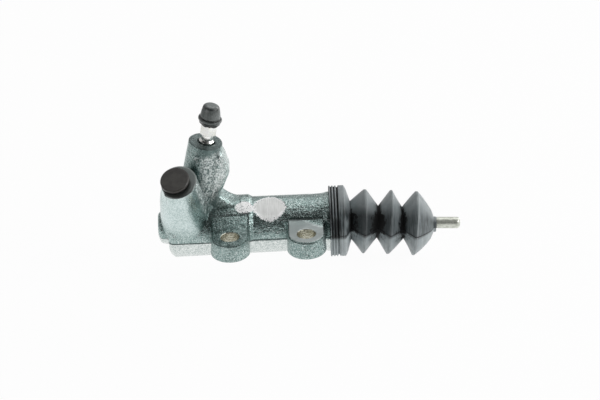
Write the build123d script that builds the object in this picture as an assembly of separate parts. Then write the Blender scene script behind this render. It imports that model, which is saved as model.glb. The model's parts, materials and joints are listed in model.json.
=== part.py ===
"""Hydraulic clutch slave cylinder.

A cast cylinder with two bolt lugs on its front side, a leaning inlet boss
and a bleeder boss at its closed end. A sprung piston pushes a push rod out
of a rubber bellows boot. A bleed screw with a rubber cap and a shipping plug
close the two ports.

Frame: the origin is midway between the two bolt holes, on the face that is
bolted down. Z runs along the bolts, X along the bore towards the push rod,
and the lugs stand on the -Y side of the barrel.
"""

from build123d import *
import math
import os

os.makedirs("parts", exist_ok=True)

# Clearances
SLIDE_GAP = 0.04  # piston and seals in the bore
THREAD_GAP = 0.06  # bleed screw in its thread
PLUG_GAP = 0.08  # plug stem in the inlet port
SOFT_GAP = 0.3  # rubber next to a piece that moves
RUBBER_FIT = 0.1  # boot collar on the barrel flange
OVERCUT = 5.0  # how far a cut runs past the face it opens

# Bolt lugs
BOLT_SPACING = 39.0
BOLT_HOLE_R = 4.7
BOLT_HOLE_CHAMFER = 0.4
LUG_CAST_H = 8.9  # cast height, below the machined pad
LUG_PAD_H = 0.9
LUG_END_R = 10.1
LUG_PAD_INSET = 0.35
LUG_DRAFT = 6.0  # degrees
LUG_FOOT_ROUND = 0.7
LUG_ROOT_R = 3.0
SPOT_CUT_Y = 15.4  # how far the front lug's face is milled into the barrel
SPOT_CUT_H = 7.0
REAR_RAMP_Y = 8.6  # cast ramp from the rear lug up to the barrel
REAR_RAMP_H = 3.0

# Barrel, measured from the origin along X
BORE_Y = 26.5  # bolt line to bore axis
BORE_Z = 1.5  # bolted face to bore axis
BARREL_R = 14.5  # above the parting plane
LOWER_R = 13.9  # below the parting plane
REAR_R = 15.7  # thicker rear half, above the parting plane
REAR_END_X = -7.5
REAR_BLEND = 2.0
CLOSED_END_X = -51.5
CLOSED_END_ROUND = 3.4
END_BOSS_R = 8.5
END_BOSS_L = 5.2
END_BOSS_ROUND = 2.0
MOUTH_X = 39.6
FLANGE_R = 15.8
FLARE_START_X = 21.0
FLARE_END_X = 30.5
BEAD_GROOVE_R = 14.4
BEAD_GROOVE_X = 35.6
BEAD_GROOVE_W = 2.6
MOUTH_CHAMFER = 1.0

# Casting gate left on the top of the barrel
GATE_X = -11.1
GATE_W = 7.0
GATE_PROUD = 1.6
GATE_TOP_ANGLE = 100.0  # degrees from the lug side, over the top
GATE_LOW_ANGLE = 52.0

# Patch ground across the top of the barrel to take off the gate's stub
GRIND_X = 1.1
GRIND_ANGLE = 66.0  # degrees from the lug side, over the top
GRIND_DEPTH = 1.3
GRIND_WHEEL_R = 33.0

# Bore and ports
BORE_R = 9.525
BORE_BOTTOM_X = -44.5
BORE_DRILL_POINT = 2.5

# Inlet boss: a skewed, drafted boss with its port off centre
INLET_X = -38.6  # where the port axis crosses the bore axis
INLET_BACK_ANGLE = 10.9  # degrees of lean towards the closed end
INLET_FRONT_ANGLE = 27.1  # degrees of lean towards the lugs
INLET_L = 42.3  # bore axis to the machined face
INLET_TOP_R = 9.9
INLET_TOP_SHIFT = 1.0
INLET_BASE_R = 14.0
INLET_BASE_SHIFT = -2.9
INLET_BASE_ROUND = 5.0
INLET_RIM = 0.4
PORT_R = 5.0
PORT_DEPTH = 13.0
PORT_DRILL_POINT = 2.2
FEED_R = 1.5

# Bleeder boss, in the plane of the bore axis
BLEED_X = -39.7
BLEED_LEAN = 11.5  # degrees towards the push rod
BLEED_L = 50.9
BLEED_TOP_R = 9.1
BLEED_BASE_R = 10.1
BLEED_ROOT_R = 4.0
BLEED_RIM = 0.5
SWELL_W = 13.0  # swelling on the push rod side of the boss
SWELL_TOP_R = 9.5
SWELL_TOP_DROP = 1.9  # below the boss face
SWELL_R = 13.9
SWELL_PEAK_SHARE = 0.455  # of the way from the low point to the top
SWELL_LOW_R = 12.6
SWELL_LOW = 27.0
SWELL_FOOT_R = 22.0
SWELL_FOOT = 19.8
SWELL_HEEL_R = 15.4
SWELL_HEEL = 22.6
SWELL_SINK = 8.0
SWELL_ROUND = 2.5
BLEED_MOUTH_R = 4.6
BLEED_MOUTH_DEPTH = 2.2
BLEED_THREAD_R = 4.0
BLEED_THREAD_DEPTH = 21.0
BLEED_SEAT_L = 2.0
BLEED_PORT_R = 1.3

# Bleed screw, heights above the boss face
SCREW_SEAT_R = 1.9
SCREW_TIP_L = 5.0
SCREW_TIP_R = 3.0
SCREW_CROSS_R = 0.8
SCREW_CROSS_L = 2.6
SCREW_BORE_R = 1.1
SCREW_NECK_R = 3.0
SCREW_NECK_H = 1.6
HEX_LOW = 4.9
HEX_HIGH = 10.5
HEX_AF = 8.0
HEX_CHAMFER = 0.5
NIPPLE_NECK_R = 2.5
NIPPLE_BARB_R = 3.1
NIPPLE_BARB_H = 15.3
NIPPLE_TOP_H = 18.2
NIPPLE_TOP_R = 2.2

# Bleeder cap
CAP_LOW_H = 10.2
CAP_HEX_GAP = 0.3  # the skirt reaches over the top of the hexagon
CAP_TOP_H = 21.5
CAP_SKIRT_R = 5.7
CAP_FLANGE_R = 6.5
CAP_FLANGE_LOW = 12.6
CAP_FLANGE_HIGH = 14.2
CAP_BODY_R = 5.5
CAP_TOP_R = 4.5
CAP_TOP_ROUND = 1.6
CAP_LEAN = 3.0  # degrees, the cap sits a little askew

# Shipping plug, heights above the inlet face
PLUG_SEAT_R = 6.1
PLUG_SEAT_H = 1.0
PLUG_HEAD_R = 7.5
PLUG_HEAD_H = 2.0
PLUG_STEM_L = 9.0
PLUG_STEM_BORE_R = 3.4
PLUG_STEM_BORE_L = 7.0
PLUG_STEM_CHAMFER = 0.6
PLUG_EDGE_ROUND = 0.45

# Piston, seals and return spring
PIVOT_X = 17.1  # centre of the push rod's ball
PISTON_FRONT_X = 0.5
PISTON_REAR_X = 26.0
PISTON_NOSE_L = 5.0
PISTON_NOSE_R = 3.6
PISTON_NOSE_HEAD_R = 4.3
PISTON_NOSE_HEAD_L = 1.4
SEAL_GROOVE_R = 6.6
SEAL_W = 4.0
FRONT_SEAL_X = 2.4
REAR_SEAL_X = 11.5
SEAL_LIP_T = 1.1
SEAL_CUT = 2.2
SOCKET_MOUTH_R = 6.6
SOCKET_GAP = 0.06
PISTON_CHAMFER = 0.5
SPRING_WIRE_R = 0.6
SPRING_BIG_R = 8.1
SPRING_SMALL_R = 5.2
SPRING_TURNS = 7.0
SPRING_END_GAP = 0.3

# Push rod, which hangs a little inside the boot
ROD_DROOP = 2.9  # degrees
ROD_BALL_R = 3.9
ROD_R = 2.95
ROD_LENGTH = 82.3  # ball centre to tip
ROD_DOME_L = 1.9
ROD_GROOVE_R = 2.2  # the boot's small end sits in this groove

# Boot
BOOT_X = 31.8  # edge of the collar
COLLAR_R = 18.3
COLLAR_RIB_STEP = 0.6
COLLAR_RIB_W = 0.9
COLLAR_RIB_GAP = 0.6
COLLAR_RIBS = 3
COLLAR_BAND_X = 36.7
COLLAR_BAND_W = 2.9
COLLAR_GROOVE_DEPTH = 1.0
SHOULDER_X = 41.2
SHOULDER_R = 16.2
NECK_X = 42.9
NECK_R = 9.9
BELLOWS_PITCH = 13.1
PEAK_1_X = 49.6
PEAK_R = 16.5
PEAK_FLAT = 1.3
VALLEY_R = 8.5
VALLEY_SHIFT = 0.35  # each valley lies a little past the middle
PEAK_SAGS = (0.85, 1.95, 3.55)
PEAK_TILTS = (4.5, 5.5, 6.0)
BOOT_WALL = 2.0  # measured along the radius
BOOT_TAIL_SHARE = 0.86  # the hollow ends this far along the last taper
BOOT_END_X = 85.3
BOOT_END_R = 4.9
LIP_L = 1.5
LIP_R = 4.0

BORE = Pos(0, BORE_Y, BORE_Z)


def turned(points):
    """A solid turned about the X axis from (axial, radial) points."""
    return revolve(make_face(Polyline(*points, close=True)), Axis.X)


def turned_up(points):
    """A solid turned about the Z axis from (radial, height) points."""
    outline = Plane.XZ * make_face(Polyline(*points, close=True))
    return revolve(outline, Axis.Z)


# Port axes
inlet_back = math.tan(math.radians(INLET_BACK_ANGLE))
inlet_front = math.tan(math.radians(INLET_FRONT_ANGLE))
inlet_dir = Vector(-inlet_back, -inlet_front, 1).normalized()
INLET = Plane(
    origin=(INLET_X, BORE_Y, BORE_Z),
    x_dir=(1, 0, inlet_back),
    z_dir=inlet_dir,
)
bleed_dir = Vector(
    math.sin(math.radians(BLEED_LEAN)),
    0,
    math.cos(math.radians(BLEED_LEAN)),
)
BLEED = Plane(
    origin=(BLEED_X, BORE_Y, BORE_Z),
    x_dir=(math.cos(math.radians(BLEED_LEAN)), 0, -math.sin(math.radians(BLEED_LEAN))),
    z_dir=bleed_dir,
)


# Cylinder body: turned barrel with a closed end and a flange for the boot.
# The half above the parting plane is a little thicker than the lower half.
def barrel_turning(front_r, rear_r):
    outline = Polyline(
        (FLARE_START_X, front_r),
        (REAR_END_X, front_r),
        (REAR_END_X - REAR_BLEND, rear_r),
        (CLOSED_END_X, rear_r),
        (CLOSED_END_X, END_BOSS_R),
        (CLOSED_END_X - END_BOSS_L, END_BOSS_R),
        (CLOSED_END_X - END_BOSS_L, 0),
        (MOUTH_X, 0),
        (MOUTH_X, FLANGE_R),
        (BEAD_GROOVE_X + BEAD_GROOVE_W, FLANGE_R),
        (BEAD_GROOVE_X + BEAD_GROOVE_W, BEAD_GROOVE_R),
        (BEAD_GROOVE_X, BEAD_GROOVE_R),
        (BEAD_GROOVE_X, FLANGE_R),
        (FLARE_END_X, FLANGE_R),
    )
    flare = ThreePointArc(
        (FLARE_END_X, FLANGE_R),
        (
            (FLARE_START_X + FLARE_END_X) / 2,
            front_r + (FLANGE_R - front_r) * 0.27,
        ),
        (FLARE_START_X, front_r),
    )
    solid = revolve(make_face(outline + flare), Axis.X)
    rear_rim = [
        e for e in solid.edges().filter_by(GeomType.CIRCLE)
        if abs(e.center().X - CLOSED_END_X) < 0.01 and abs(e.radius - rear_r) < 0.01
    ]
    solid = fillet(rear_rim, CLOSED_END_ROUND)
    boss_rim = [
        e for e in solid.edges().filter_by(GeomType.CIRCLE)
        if abs(e.center().X - CLOSED_END_X + END_BOSS_L) < 0.01
    ]
    return fillet(boss_rim, END_BOSS_ROUND)


above_parting = Pos(0, BORE_Y, 4 * REAR_R) * Box(20 * REAR_R, 8 * REAR_R, 8 * REAR_R)
grind_wheel = (
    BORE
    * Pos(GRIND_X, 0, 0)
    * Rot(-GRIND_ANGLE, 0, 0)
    * Pos(0, GRIND_DEPTH - BARREL_R - GRIND_WHEEL_R, 0)
    * Cylinder(GRIND_WHEEL_R, 2 * BARREL_R)
)
upper_barrel = BORE * barrel_turning(BARREL_R, REAR_R) - grind_wheel
lower_barrel = BORE * barrel_turning(LOWER_R, LOWER_R)

# Bleeder boss: a drafted round boss, rounded into the barrel
bleed_boss = BLEED * turned_up(
    [
        (0, 0),
        (BLEED_BASE_R, 0),
        (BLEED_TOP_R, BLEED_L - BLEED_RIM),
        (BLEED_TOP_R - BLEED_RIM, BLEED_L),
        (0, BLEED_L),
    ]
)
body = upper_barrel + bleed_boss
root = new_edges(upper_barrel, bleed_boss, combined=body)
body = fillet(root, BLEED_ROOT_R) & above_parting

# Casting gate: a low ridge round the top of the barrel
gate_arc = GATE_TOP_ANGLE - GATE_LOW_ANGLE
gate_sector = Plane.YZ * make_face(
    Polyline(
        (0, 0),
        (
            -2 * REAR_R * math.cos(math.radians(GATE_LOW_ANGLE)),
            2 * REAR_R * math.sin(math.radians(GATE_LOW_ANGLE)),
        ),
        (
            -2 * REAR_R * math.cos(math.radians(GATE_LOW_ANGLE + gate_arc / 2)),
            2 * REAR_R * math.sin(math.radians(GATE_LOW_ANGLE + gate_arc / 2)),
        ),
        (
            -2 * REAR_R * math.cos(math.radians(GATE_TOP_ANGLE)),
            2 * REAR_R * math.sin(math.radians(GATE_TOP_ANGLE)),
        ),
        close=True,
    )
)
gate_wedge = Pos(GATE_X - GATE_W, 0, 0) * extrude(gate_sector, 2 * GATE_W)
gate_ring = turned(
    [
        (GATE_X - GATE_W / 2, BORE_R + SLIDE_GAP),
        (GATE_X - GATE_W / 2, BARREL_R),
        (GATE_X - GATE_W / 4, BARREL_R + GATE_PROUD),
        (GATE_X + GATE_W / 4, BARREL_R + GATE_PROUD),
        (GATE_X + GATE_W / 2, BARREL_R),
        (GATE_X + GATE_W / 2, BORE_R + SLIDE_GAP),
    ]
)
body += BORE * (gate_ring & gate_wedge)

# Bolt lugs, drafted from the bolted face up, each with a flat pad on top
lug_root_y = BORE_Y - BARREL_R + 1.2
lug_outline = Circle(LUG_END_R) + Pos(0, lug_root_y / 2) * Rectangle(
    2 * LUG_END_R, lug_root_y
)
lug_outline += Pos(0, lug_root_y + LUG_ROOT_R) * Rectangle(
    2 * (LUG_END_R + LUG_ROOT_R), 2 * LUG_ROOT_R
)
root_corners = [
    v for v in lug_outline.vertices()
    if abs(v.Y - lug_root_y) < 0.01 and abs(abs(v.X) - LUG_END_R) < 0.01
]
lug_outline = fillet(root_corners, LUG_ROOT_R * 0.95)
lug = extrude(lug_outline, LUG_CAST_H, taper=LUG_DRAFT)
foot = [
    e for e in lug.edges()
    if abs(e.center().Z) < 0.01 and e.center().Y < lug_root_y - LUG_ROOT_R
]
lug = chamfer(foot, LUG_FOOT_ROUND)
lug_top = LUG_CAST_H + LUG_PAD_H
pad_r = LUG_END_R - LUG_CAST_H * math.tan(math.radians(LUG_DRAFT)) - LUG_PAD_INSET
pad_outline = Circle(pad_r) + Pos(0, SPOT_CUT_Y / 2) * Rectangle(2 * pad_r, SPOT_CUT_Y)
pad = Pos(0, 0, LUG_CAST_H) * extrude(pad_outline, LUG_PAD_H)
spot_cut = Pos(0, 0, lug_top) * extrude(pad_outline, SPOT_CUT_H)
ramp_outline = Plane.YZ * make_face(
    Polyline(
        (REAR_RAMP_Y, LUG_CAST_H),
        (REAR_RAMP_Y, lug_top),
        (SPOT_CUT_Y, lug_top + REAR_RAMP_H),
        (SPOT_CUT_Y, LUG_CAST_H),
        close=True,
    )
)
ramp = extrude(ramp_outline, pad_r, both=True)
front_lug = Pos(BOLT_SPACING / 2, 0, 0)
rear_lug = Pos(-BOLT_SPACING / 2, 0, 0)
body = body + lower_barrel
body = body + front_lug * lug - front_lug * spot_cut + front_lug * pad
body = body + rear_lug * lug + rear_lug * pad + rear_lug * ramp

# Inlet boss: lofted from a wide round base to a smaller, shifted top
inlet_base = INLET * Pos(INLET_BASE_SHIFT, 0, 0) * Circle(INLET_BASE_R)
inlet_top = INLET * Pos(INLET_TOP_SHIFT, 0, INLET_L) * Circle(INLET_TOP_R)
inlet_boss = loft([inlet_base.face(), inlet_top.face()])
base_edge = inlet_boss.edges().group_by(lambda e: e.length)[-1]
inlet_boss = fillet(base_edge, INLET_BASE_ROUND)
inlet_face = inlet_boss.faces().sort_by(Axis(INLET.origin, INLET.z_dir))[-1]
inlet_boss = chamfer(inlet_face.edges(), INLET_RIM)
body = body + inlet_boss

# Swelling on the bleeder boss, running down to the barrel
swell_top = BLEED_L - SWELL_TOP_DROP
swell_curve = Spline(
    (SWELL_TOP_R, swell_top),
    (SWELL_R, SWELL_LOW + SWELL_PEAK_SHARE * (swell_top - SWELL_LOW)),
    (SWELL_LOW_R, SWELL_LOW),
    (SWELL_HEEL_R, SWELL_HEEL),
    (SWELL_FOOT_R, SWELL_FOOT),
)
swell_outline = make_face(
    swell_curve
    + Polyline(
        (SWELL_FOOT_R, SWELL_FOOT),
        (SWELL_FOOT_R, SWELL_FOOT - SWELL_SINK),
        (0, SWELL_FOOT - SWELL_SINK),
        (0, swell_top),
        (SWELL_TOP_R, swell_top),
    )
)
swell = extrude(Plane.XZ * swell_outline, SWELL_W / 2, both=True)
swell_edges = [
    e for e in swell.edges()
    if abs(abs(e.center().Y) - SWELL_W / 2) < 0.01
    and abs(e.length - swell_curve.length) < 0.1
]
swell = fillet(swell_edges, SWELL_ROUND)
body = body + BLEED * swell

# Bore, ports and holes
bore_cut = turned(
    [
        (MOUTH_X + 1, 0),
        (MOUTH_X + 1, BORE_R + MOUTH_CHAMFER),
        (MOUTH_X, BORE_R + MOUTH_CHAMFER),
        (MOUTH_X - MOUTH_CHAMFER, BORE_R),
        (BORE_BOTTOM_X, BORE_R),
        (BORE_BOTTOM_X - BORE_DRILL_POINT, 0),
    ]
)
body = body - BORE * bore_cut
inlet_cut = turned_up(
    [
        (0, 0),
        (FEED_R, 0),
        (FEED_R, INLET_L - PORT_DEPTH - PORT_DRILL_POINT),
        (PORT_R, INLET_L - PORT_DEPTH),
        (PORT_R, INLET_L - 0.6),
        (PORT_R + 0.6, INLET_L),
        (PORT_R + 0.6, INLET_L + OVERCUT),
        (0, INLET_L + OVERCUT),
    ]
)
body = body - INLET * inlet_cut
bleed_cut = turned_up(
    [
        (0, 0),
        (BLEED_PORT_R, 0),
        (BLEED_PORT_R, BLEED_L - BLEED_THREAD_DEPTH - BLEED_SEAT_L),
        (BLEED_THREAD_R, BLEED_L - BLEED_THREAD_DEPTH),
        (BLEED_THREAD_R, BLEED_L - BLEED_MOUTH_DEPTH),
        (BLEED_MOUTH_R, BLEED_L - BLEED_MOUTH_DEPTH + 0.5),
        (BLEED_MOUTH_R, BLEED_L + OVERCUT),
        (0, BLEED_L + OVERCUT),
    ]
)
body = body - BLEED * bleed_cut
bolt_cut = turned_up(
    [
        (0, -1),
        (BOLT_HOLE_R + BOLT_HOLE_CHAMFER, -1),
        (BOLT_HOLE_R + BOLT_HOLE_CHAMFER, 0),
        (BOLT_HOLE_R, BOLT_HOLE_CHAMFER),
        (BOLT_HOLE_R, lug_top - BOLT_HOLE_CHAMFER),
        (BOLT_HOLE_R + BOLT_HOLE_CHAMFER, lug_top),
        (BOLT_HOLE_R + BOLT_HOLE_CHAMFER, lug_top + 1),
        (0, lug_top + 1),
    ]
)
body = body - front_lug * bolt_cut - rear_lug * bolt_cut
export_step(body, "parts/cylinder_body.step")

# Piston: two seal grooves, a nose for the spring and a socket for the rod
piston_r = BORE_R - SLIDE_GAP
socket_r = ROD_BALL_R + SOCKET_GAP
piston = turned(
    [
        (PISTON_FRONT_X - PISTON_NOSE_L, 0),
        (PISTON_FRONT_X - PISTON_NOSE_L, PISTON_NOSE_HEAD_R),
        (PISTON_FRONT_X - PISTON_NOSE_L + PISTON_NOSE_HEAD_L, PISTON_NOSE_HEAD_R),
        (PISTON_FRONT_X - PISTON_NOSE_L + PISTON_NOSE_HEAD_L, PISTON_NOSE_R),
        (PISTON_FRONT_X, PISTON_NOSE_R),
        (PISTON_FRONT_X, piston_r - PISTON_CHAMFER),
        (PISTON_FRONT_X + PISTON_CHAMFER, piston_r),
        (FRONT_SEAL_X, piston_r),
        (FRONT_SEAL_X, SEAL_GROOVE_R),
        (FRONT_SEAL_X + SEAL_W, SEAL_GROOVE_R),
        (FRONT_SEAL_X + SEAL_W, piston_r),
        (REAR_SEAL_X, piston_r),
        (REAR_SEAL_X, SEAL_GROOVE_R),
        (REAR_SEAL_X + SEAL_W, SEAL_GROOVE_R),
        (REAR_SEAL_X + SEAL_W, piston_r),
        (PISTON_REAR_X - PISTON_CHAMFER, piston_r),
        (PISTON_REAR_X, piston_r - PISTON_CHAMFER),
        (PISTON_REAR_X, 0),
    ]
)
socket = Pos(PIVOT_X, 0, 0) * Sphere(socket_r)
socket += turned(
    [
        (PIVOT_X, 0),
        (PIVOT_X, socket_r),
        (PISTON_REAR_X, SOCKET_MOUTH_R),
        (PISTON_REAR_X + 1, SOCKET_MOUTH_R),
        (PISTON_REAR_X + 1, 0),
    ]
)
piston = piston - socket
export_step(BORE * piston, "parts/piston.step")


def cup_seal(x):
    """A cup seal with its lip towards the closed end."""
    low = SEAL_GROOVE_R + SLIDE_GAP
    return turned(
        [
            (x + SLIDE_GAP, low),
            (x + SLIDE_GAP, low + SEAL_LIP_T * 0.4),
            (x + SEAL_CUT, (low + piston_r) / 2),
            (x + SLIDE_GAP, piston_r - SEAL_LIP_T * 0.4),
            (x + SLIDE_GAP, piston_r),
            (x + SEAL_W - SLIDE_GAP - 0.4, piston_r),
            (x + SEAL_W - SLIDE_GAP, piston_r - 0.4),
            (x + SEAL_W - SLIDE_GAP, low),
        ]
    )


export_step(BORE * cup_seal(FRONT_SEAL_X), "parts/front_cup_seal.step")
export_step(BORE * cup_seal(REAR_SEAL_X), "parts/rear_cup_seal.step")

# Return spring: a conical coil from the bottom of the bore to the piston
spring_x0 = BORE_BOTTOM_X + SPRING_WIRE_R + SPRING_END_GAP
spring_x1 = PISTON_FRONT_X - SPRING_WIRE_R - SPRING_END_GAP
spring_l = spring_x1 - spring_x0
cone = math.degrees(math.atan((SPRING_BIG_R - SPRING_SMALL_R) / spring_l))
coil = Helix(
    pitch=spring_l / SPRING_TURNS,
    height=spring_l,
    radius=SPRING_BIG_R,
    cone_angle=-cone,
)
wire = Plane(coil @ 0, z_dir=coil % 0) * Circle(SPRING_WIRE_R)
spring = sweep(wire, path=coil, is_frenet=True)
spring = Pos(spring_x0, 0, 0) * Rot(0, 90, 0) * spring
export_step(BORE * spring, "parts/return_spring.step")

# Push rod: ball end, straight shank, domed tip
ROD = BORE * Pos(PIVOT_X, 0, 0) * Rot(0, ROD_DROOP, 0)
rod_droop = math.radians(ROD_DROOP)
boot_tail_x = PEAK_1_X + (len(PEAK_SAGS) - 1) * BELLOWS_PITCH + PEAK_FLAT / 2
boot_wall_x = boot_tail_x + BOOT_TAIL_SHARE * (BOOT_END_X - boot_tail_x)
groove_start = (boot_wall_x - PIVOT_X) / math.cos(rod_droop) - SOFT_GAP
groove_end = (BOOT_END_X - PIVOT_X) / math.cos(rod_droop) + LIP_L + SOFT_GAP
shank = turned(
    [
        (0, 0),
        (0, ROD_R),
        (groove_start, ROD_R),
        (groove_start, ROD_GROOVE_R),
        (groove_end, ROD_GROOVE_R),
        (groove_end, ROD_R),
        (ROD_LENGTH, ROD_R),
        (ROD_LENGTH, 0),
    ]
)
tip_edge = shank.edges().filter_by(GeomType.CIRCLE).sort_by(Axis.X)[-1]
rod = fillet(tip_edge, ROD_DOME_L) + Rot(0, 90, 0) * Sphere(ROD_BALL_R)
export_step(ROD * rod, "parts/push_rod.step")

# Boot: ribbed collar on the flange, then sagging bellows down to the rod
rib_points = []
rib_x = BOOT_X
for _ in range(COLLAR_RIBS):
    rib_points += [
        (rib_x, COLLAR_R - COLLAR_RIB_STEP),
        (rib_x + 0.15, COLLAR_R),
        (rib_x + COLLAR_RIB_W - 0.15, COLLAR_R),
        (rib_x + COLLAR_RIB_W, COLLAR_R - COLLAR_RIB_STEP),
    ]
    rib_x += COLLAR_RIB_W + COLLAR_RIB_GAP
collar_in = FLANGE_R + RUBBER_FIT
collar_cap_x = MOUTH_X + RUBBER_FIT
collar = turned(
    [(BOOT_X, collar_in)]
    + rib_points
    + [
        (COLLAR_BAND_X - 0.7, COLLAR_R - COLLAR_GROOVE_DEPTH),
        (COLLAR_BAND_X - 0.3, COLLAR_R - COLLAR_GROOVE_DEPTH),
        (COLLAR_BAND_X, COLLAR_R),
        (COLLAR_BAND_X + COLLAR_BAND_W, COLLAR_R),
        (SHOULDER_X, SHOULDER_R),
        (NECK_X, NECK_R),
        (NECK_X, NECK_R - BOOT_WALL),
        (collar_cap_x, NECK_R - BOOT_WALL + 2.5),
        (collar_cap_x, collar_in),
        (BEAD_GROOVE_X + BEAD_GROOVE_W - RUBBER_FIT, collar_in),
        (BEAD_GROOVE_X + BEAD_GROOVE_W - RUBBER_FIT, BEAD_GROOVE_R + RUBBER_FIT),
        (BEAD_GROOVE_X + RUBBER_FIT, BEAD_GROOVE_R + RUBBER_FIT),
        (BEAD_GROOVE_X + RUBBER_FIT, collar_in),
    ]
)


def ring_plane(x, sag, tilt):
    return Plane(BORE * Pos(x, 0, -sag) * Rot(0, 90 + tilt, 0))


def rod_sag(x):
    return (x - PIVOT_X) * math.tan(math.radians(ROD_DROOP))


rings = [(ring_plane(NECK_X, 0, 0), NECK_R)]
for n in range(len(PEAK_SAGS)):
    sag = PEAK_SAGS[n]
    tilt = PEAK_TILTS[n]
    peak_x = PEAK_1_X + n * BELLOWS_PITCH
    for half in (-0.5, 0.5):
        rings.append((ring_plane(peak_x + half * PEAK_FLAT, sag, tilt), PEAK_R))
    if n < len(PEAK_SAGS) - 1:
        rings.append(
            (
                ring_plane(
                    peak_x + BELLOWS_PITCH / 2 + VALLEY_SHIFT,
                    (sag + PEAK_SAGS[n + 1]) / 2,
                    (tilt + PEAK_TILTS[n + 1]) / 2,
                ),
                VALLEY_R,
            )
        )
end_tilt = ROD_DROOP
last_sag = PEAK_SAGS[-1]
for share, drop in ((0.3, 0.22), (0.62, 0.5), (BOOT_TAIL_SHARE, 0.75), (1.0, 1.0)):
    x = boot_tail_x + share * (BOOT_END_X - boot_tail_x)
    sag = last_sag + share * (rod_sag(BOOT_END_X) - last_sag)
    tilt = PEAK_TILTS[-1] + share * (end_tilt - PEAK_TILTS[-1])
    rings.append((ring_plane(x, sag, tilt), PEAK_R + drop * (BOOT_END_R - PEAK_R)))
outer = loft([(p * Circle(r)).face() for p, r in rings], ruled=True)
inner = loft([(p * Circle(r - BOOT_WALL)).face() for p, r in rings[:-1]], ruled=True)
lip_plane = ring_plane(BOOT_END_X, rod_sag(BOOT_END_X), end_tilt)
lip = lip_plane * Pos(0, 0, -1.0) * Cylinder(
    LIP_R, LIP_L + 1.0, align=(Align.CENTER, Align.CENTER, Align.MIN)
)
rod_hole = lip_plane * Pos(0, 0, -2 * OVERCUT) * Cylinder(
    ROD_GROOVE_R + SOFT_GAP,
    2 * OVERCUT + LIP_L + OVERCUT,
    align=(Align.CENTER, Align.CENTER, Align.MIN),
)
boot = BORE * collar + (outer - inner) + lip - rod_hole
export_step(boot, "parts/boot.step")

# Bleed screw: seat, threaded shank, hexagon and hose nipple
screw_seat_z = BLEED_L - BLEED_THREAD_DEPTH - BLEED_SEAT_L
screw_r = BLEED_THREAD_R - THREAD_GAP
seat_slope = (BLEED_THREAD_R - BLEED_PORT_R) / BLEED_SEAT_L
screw_seat_low = screw_seat_z + (SCREW_SEAT_R - BLEED_PORT_R) / seat_slope
screw_points = [
    (0, screw_seat_low + THREAD_GAP),
    (SCREW_SEAT_R, screw_seat_low + THREAD_GAP),
    (SCREW_TIP_R, screw_seat_low + THREAD_GAP + (SCREW_TIP_R - SCREW_SEAT_R) / seat_slope),
    (SCREW_TIP_R, screw_seat_low + SCREW_TIP_L),
    (screw_r, screw_seat_low + SCREW_TIP_L + 1),
    (screw_r, BLEED_L + SCREW_NECK_H - 0.9),
    (SCREW_NECK_R, BLEED_L + SCREW_NECK_H),
    (SCREW_NECK_R, BLEED_L + HEX_LOW + 0.5),
    (NIPPLE_NECK_R, BLEED_L + HEX_LOW + 0.5),
    (NIPPLE_NECK_R, BLEED_L + NIPPLE_BARB_H - 0.6),
    (NIPPLE_BARB_R, BLEED_L + NIPPLE_BARB_H),
    (NIPPLE_TOP_R, BLEED_L + NIPPLE_TOP_H),
    (0, BLEED_L + NIPPLE_TOP_H),
]
screw = turned_up(screw_points)
hex_blank = Pos(0, 0, BLEED_L + HEX_LOW) * extrude(
    RegularPolygon(HEX_AF / 2, 6, major_radius=False, rotation=30), HEX_HIGH - HEX_LOW
)
corner_r = HEX_AF / 2 / math.cos(math.radians(30))
hex_round = turned_up(
    [
        (0, BLEED_L + HEX_LOW),
        (corner_r - HEX_CHAMFER, BLEED_L + HEX_LOW),
        (corner_r, BLEED_L + HEX_LOW + HEX_CHAMFER * 0.6),
        (corner_r, BLEED_L + HEX_HIGH - HEX_CHAMFER * 0.6),
        (corner_r - HEX_CHAMFER, BLEED_L + HEX_HIGH),
        (0, BLEED_L + HEX_HIGH),
    ]
)
screw = screw + (hex_blank & hex_round)
cross_z = screw_seat_low + SCREW_CROSS_L
screw = screw - Pos(0, 0, cross_z) * Cylinder(
    SCREW_BORE_R, NIPPLE_TOP_H + BLEED_L, align=(Align.CENTER, Align.CENTER, Align.MIN)
)
screw = screw - Pos(0, 0, cross_z) * Rot(90, 0, 0) * Cylinder(SCREW_CROSS_R, 3 * screw_r)
export_step(BLEED * screw, "parts/bleed_screw.step")

# Bleeder cap: a rubber cap over the nipple with a flange and a scalloped skirt
cap = turned_up(
    [
        (0, BLEED_L + CAP_LOW_H),
        (CAP_SKIRT_R - 0.5, BLEED_L + CAP_LOW_H),
        (CAP_SKIRT_R, BLEED_L + CAP_LOW_H + 0.4),
        (CAP_SKIRT_R, BLEED_L + CAP_FLANGE_LOW - 0.4),
        (CAP_FLANGE_R, BLEED_L + CAP_FLANGE_LOW),
        (CAP_FLANGE_R, BLEED_L + CAP_FLANGE_HIGH - 0.3),
        (CAP_FLANGE_R - 0.5, BLEED_L + CAP_FLANGE_HIGH),
        (CAP_BODY_R, BLEED_L + CAP_FLANGE_HIGH + 0.4),
        (CAP_TOP_R + 0.5, BLEED_L + CAP_TOP_H - CAP_TOP_ROUND),
        (CAP_TOP_R - 0.3, BLEED_L + CAP_TOP_H - CAP_TOP_ROUND * 0.3),
        (CAP_TOP_R - CAP_TOP_ROUND, BLEED_L + CAP_TOP_H),
        (0, BLEED_L + CAP_TOP_H),
    ]
)
cap = Pos(0, 0, BLEED_L + CAP_LOW_H) * Rot(0, -CAP_LEAN, 0) * Pos(0, 0, -BLEED_L - CAP_LOW_H) * cap
cap_hollow = Pos(0, 0, BLEED_L + CAP_LOW_H - 1) * Cylinder(
    NIPPLE_BARB_R + SOFT_GAP,
    NIPPLE_TOP_H + SOFT_GAP - CAP_LOW_H + 1,
    align=(Align.CENTER, Align.CENTER, Align.MIN),
)
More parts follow.
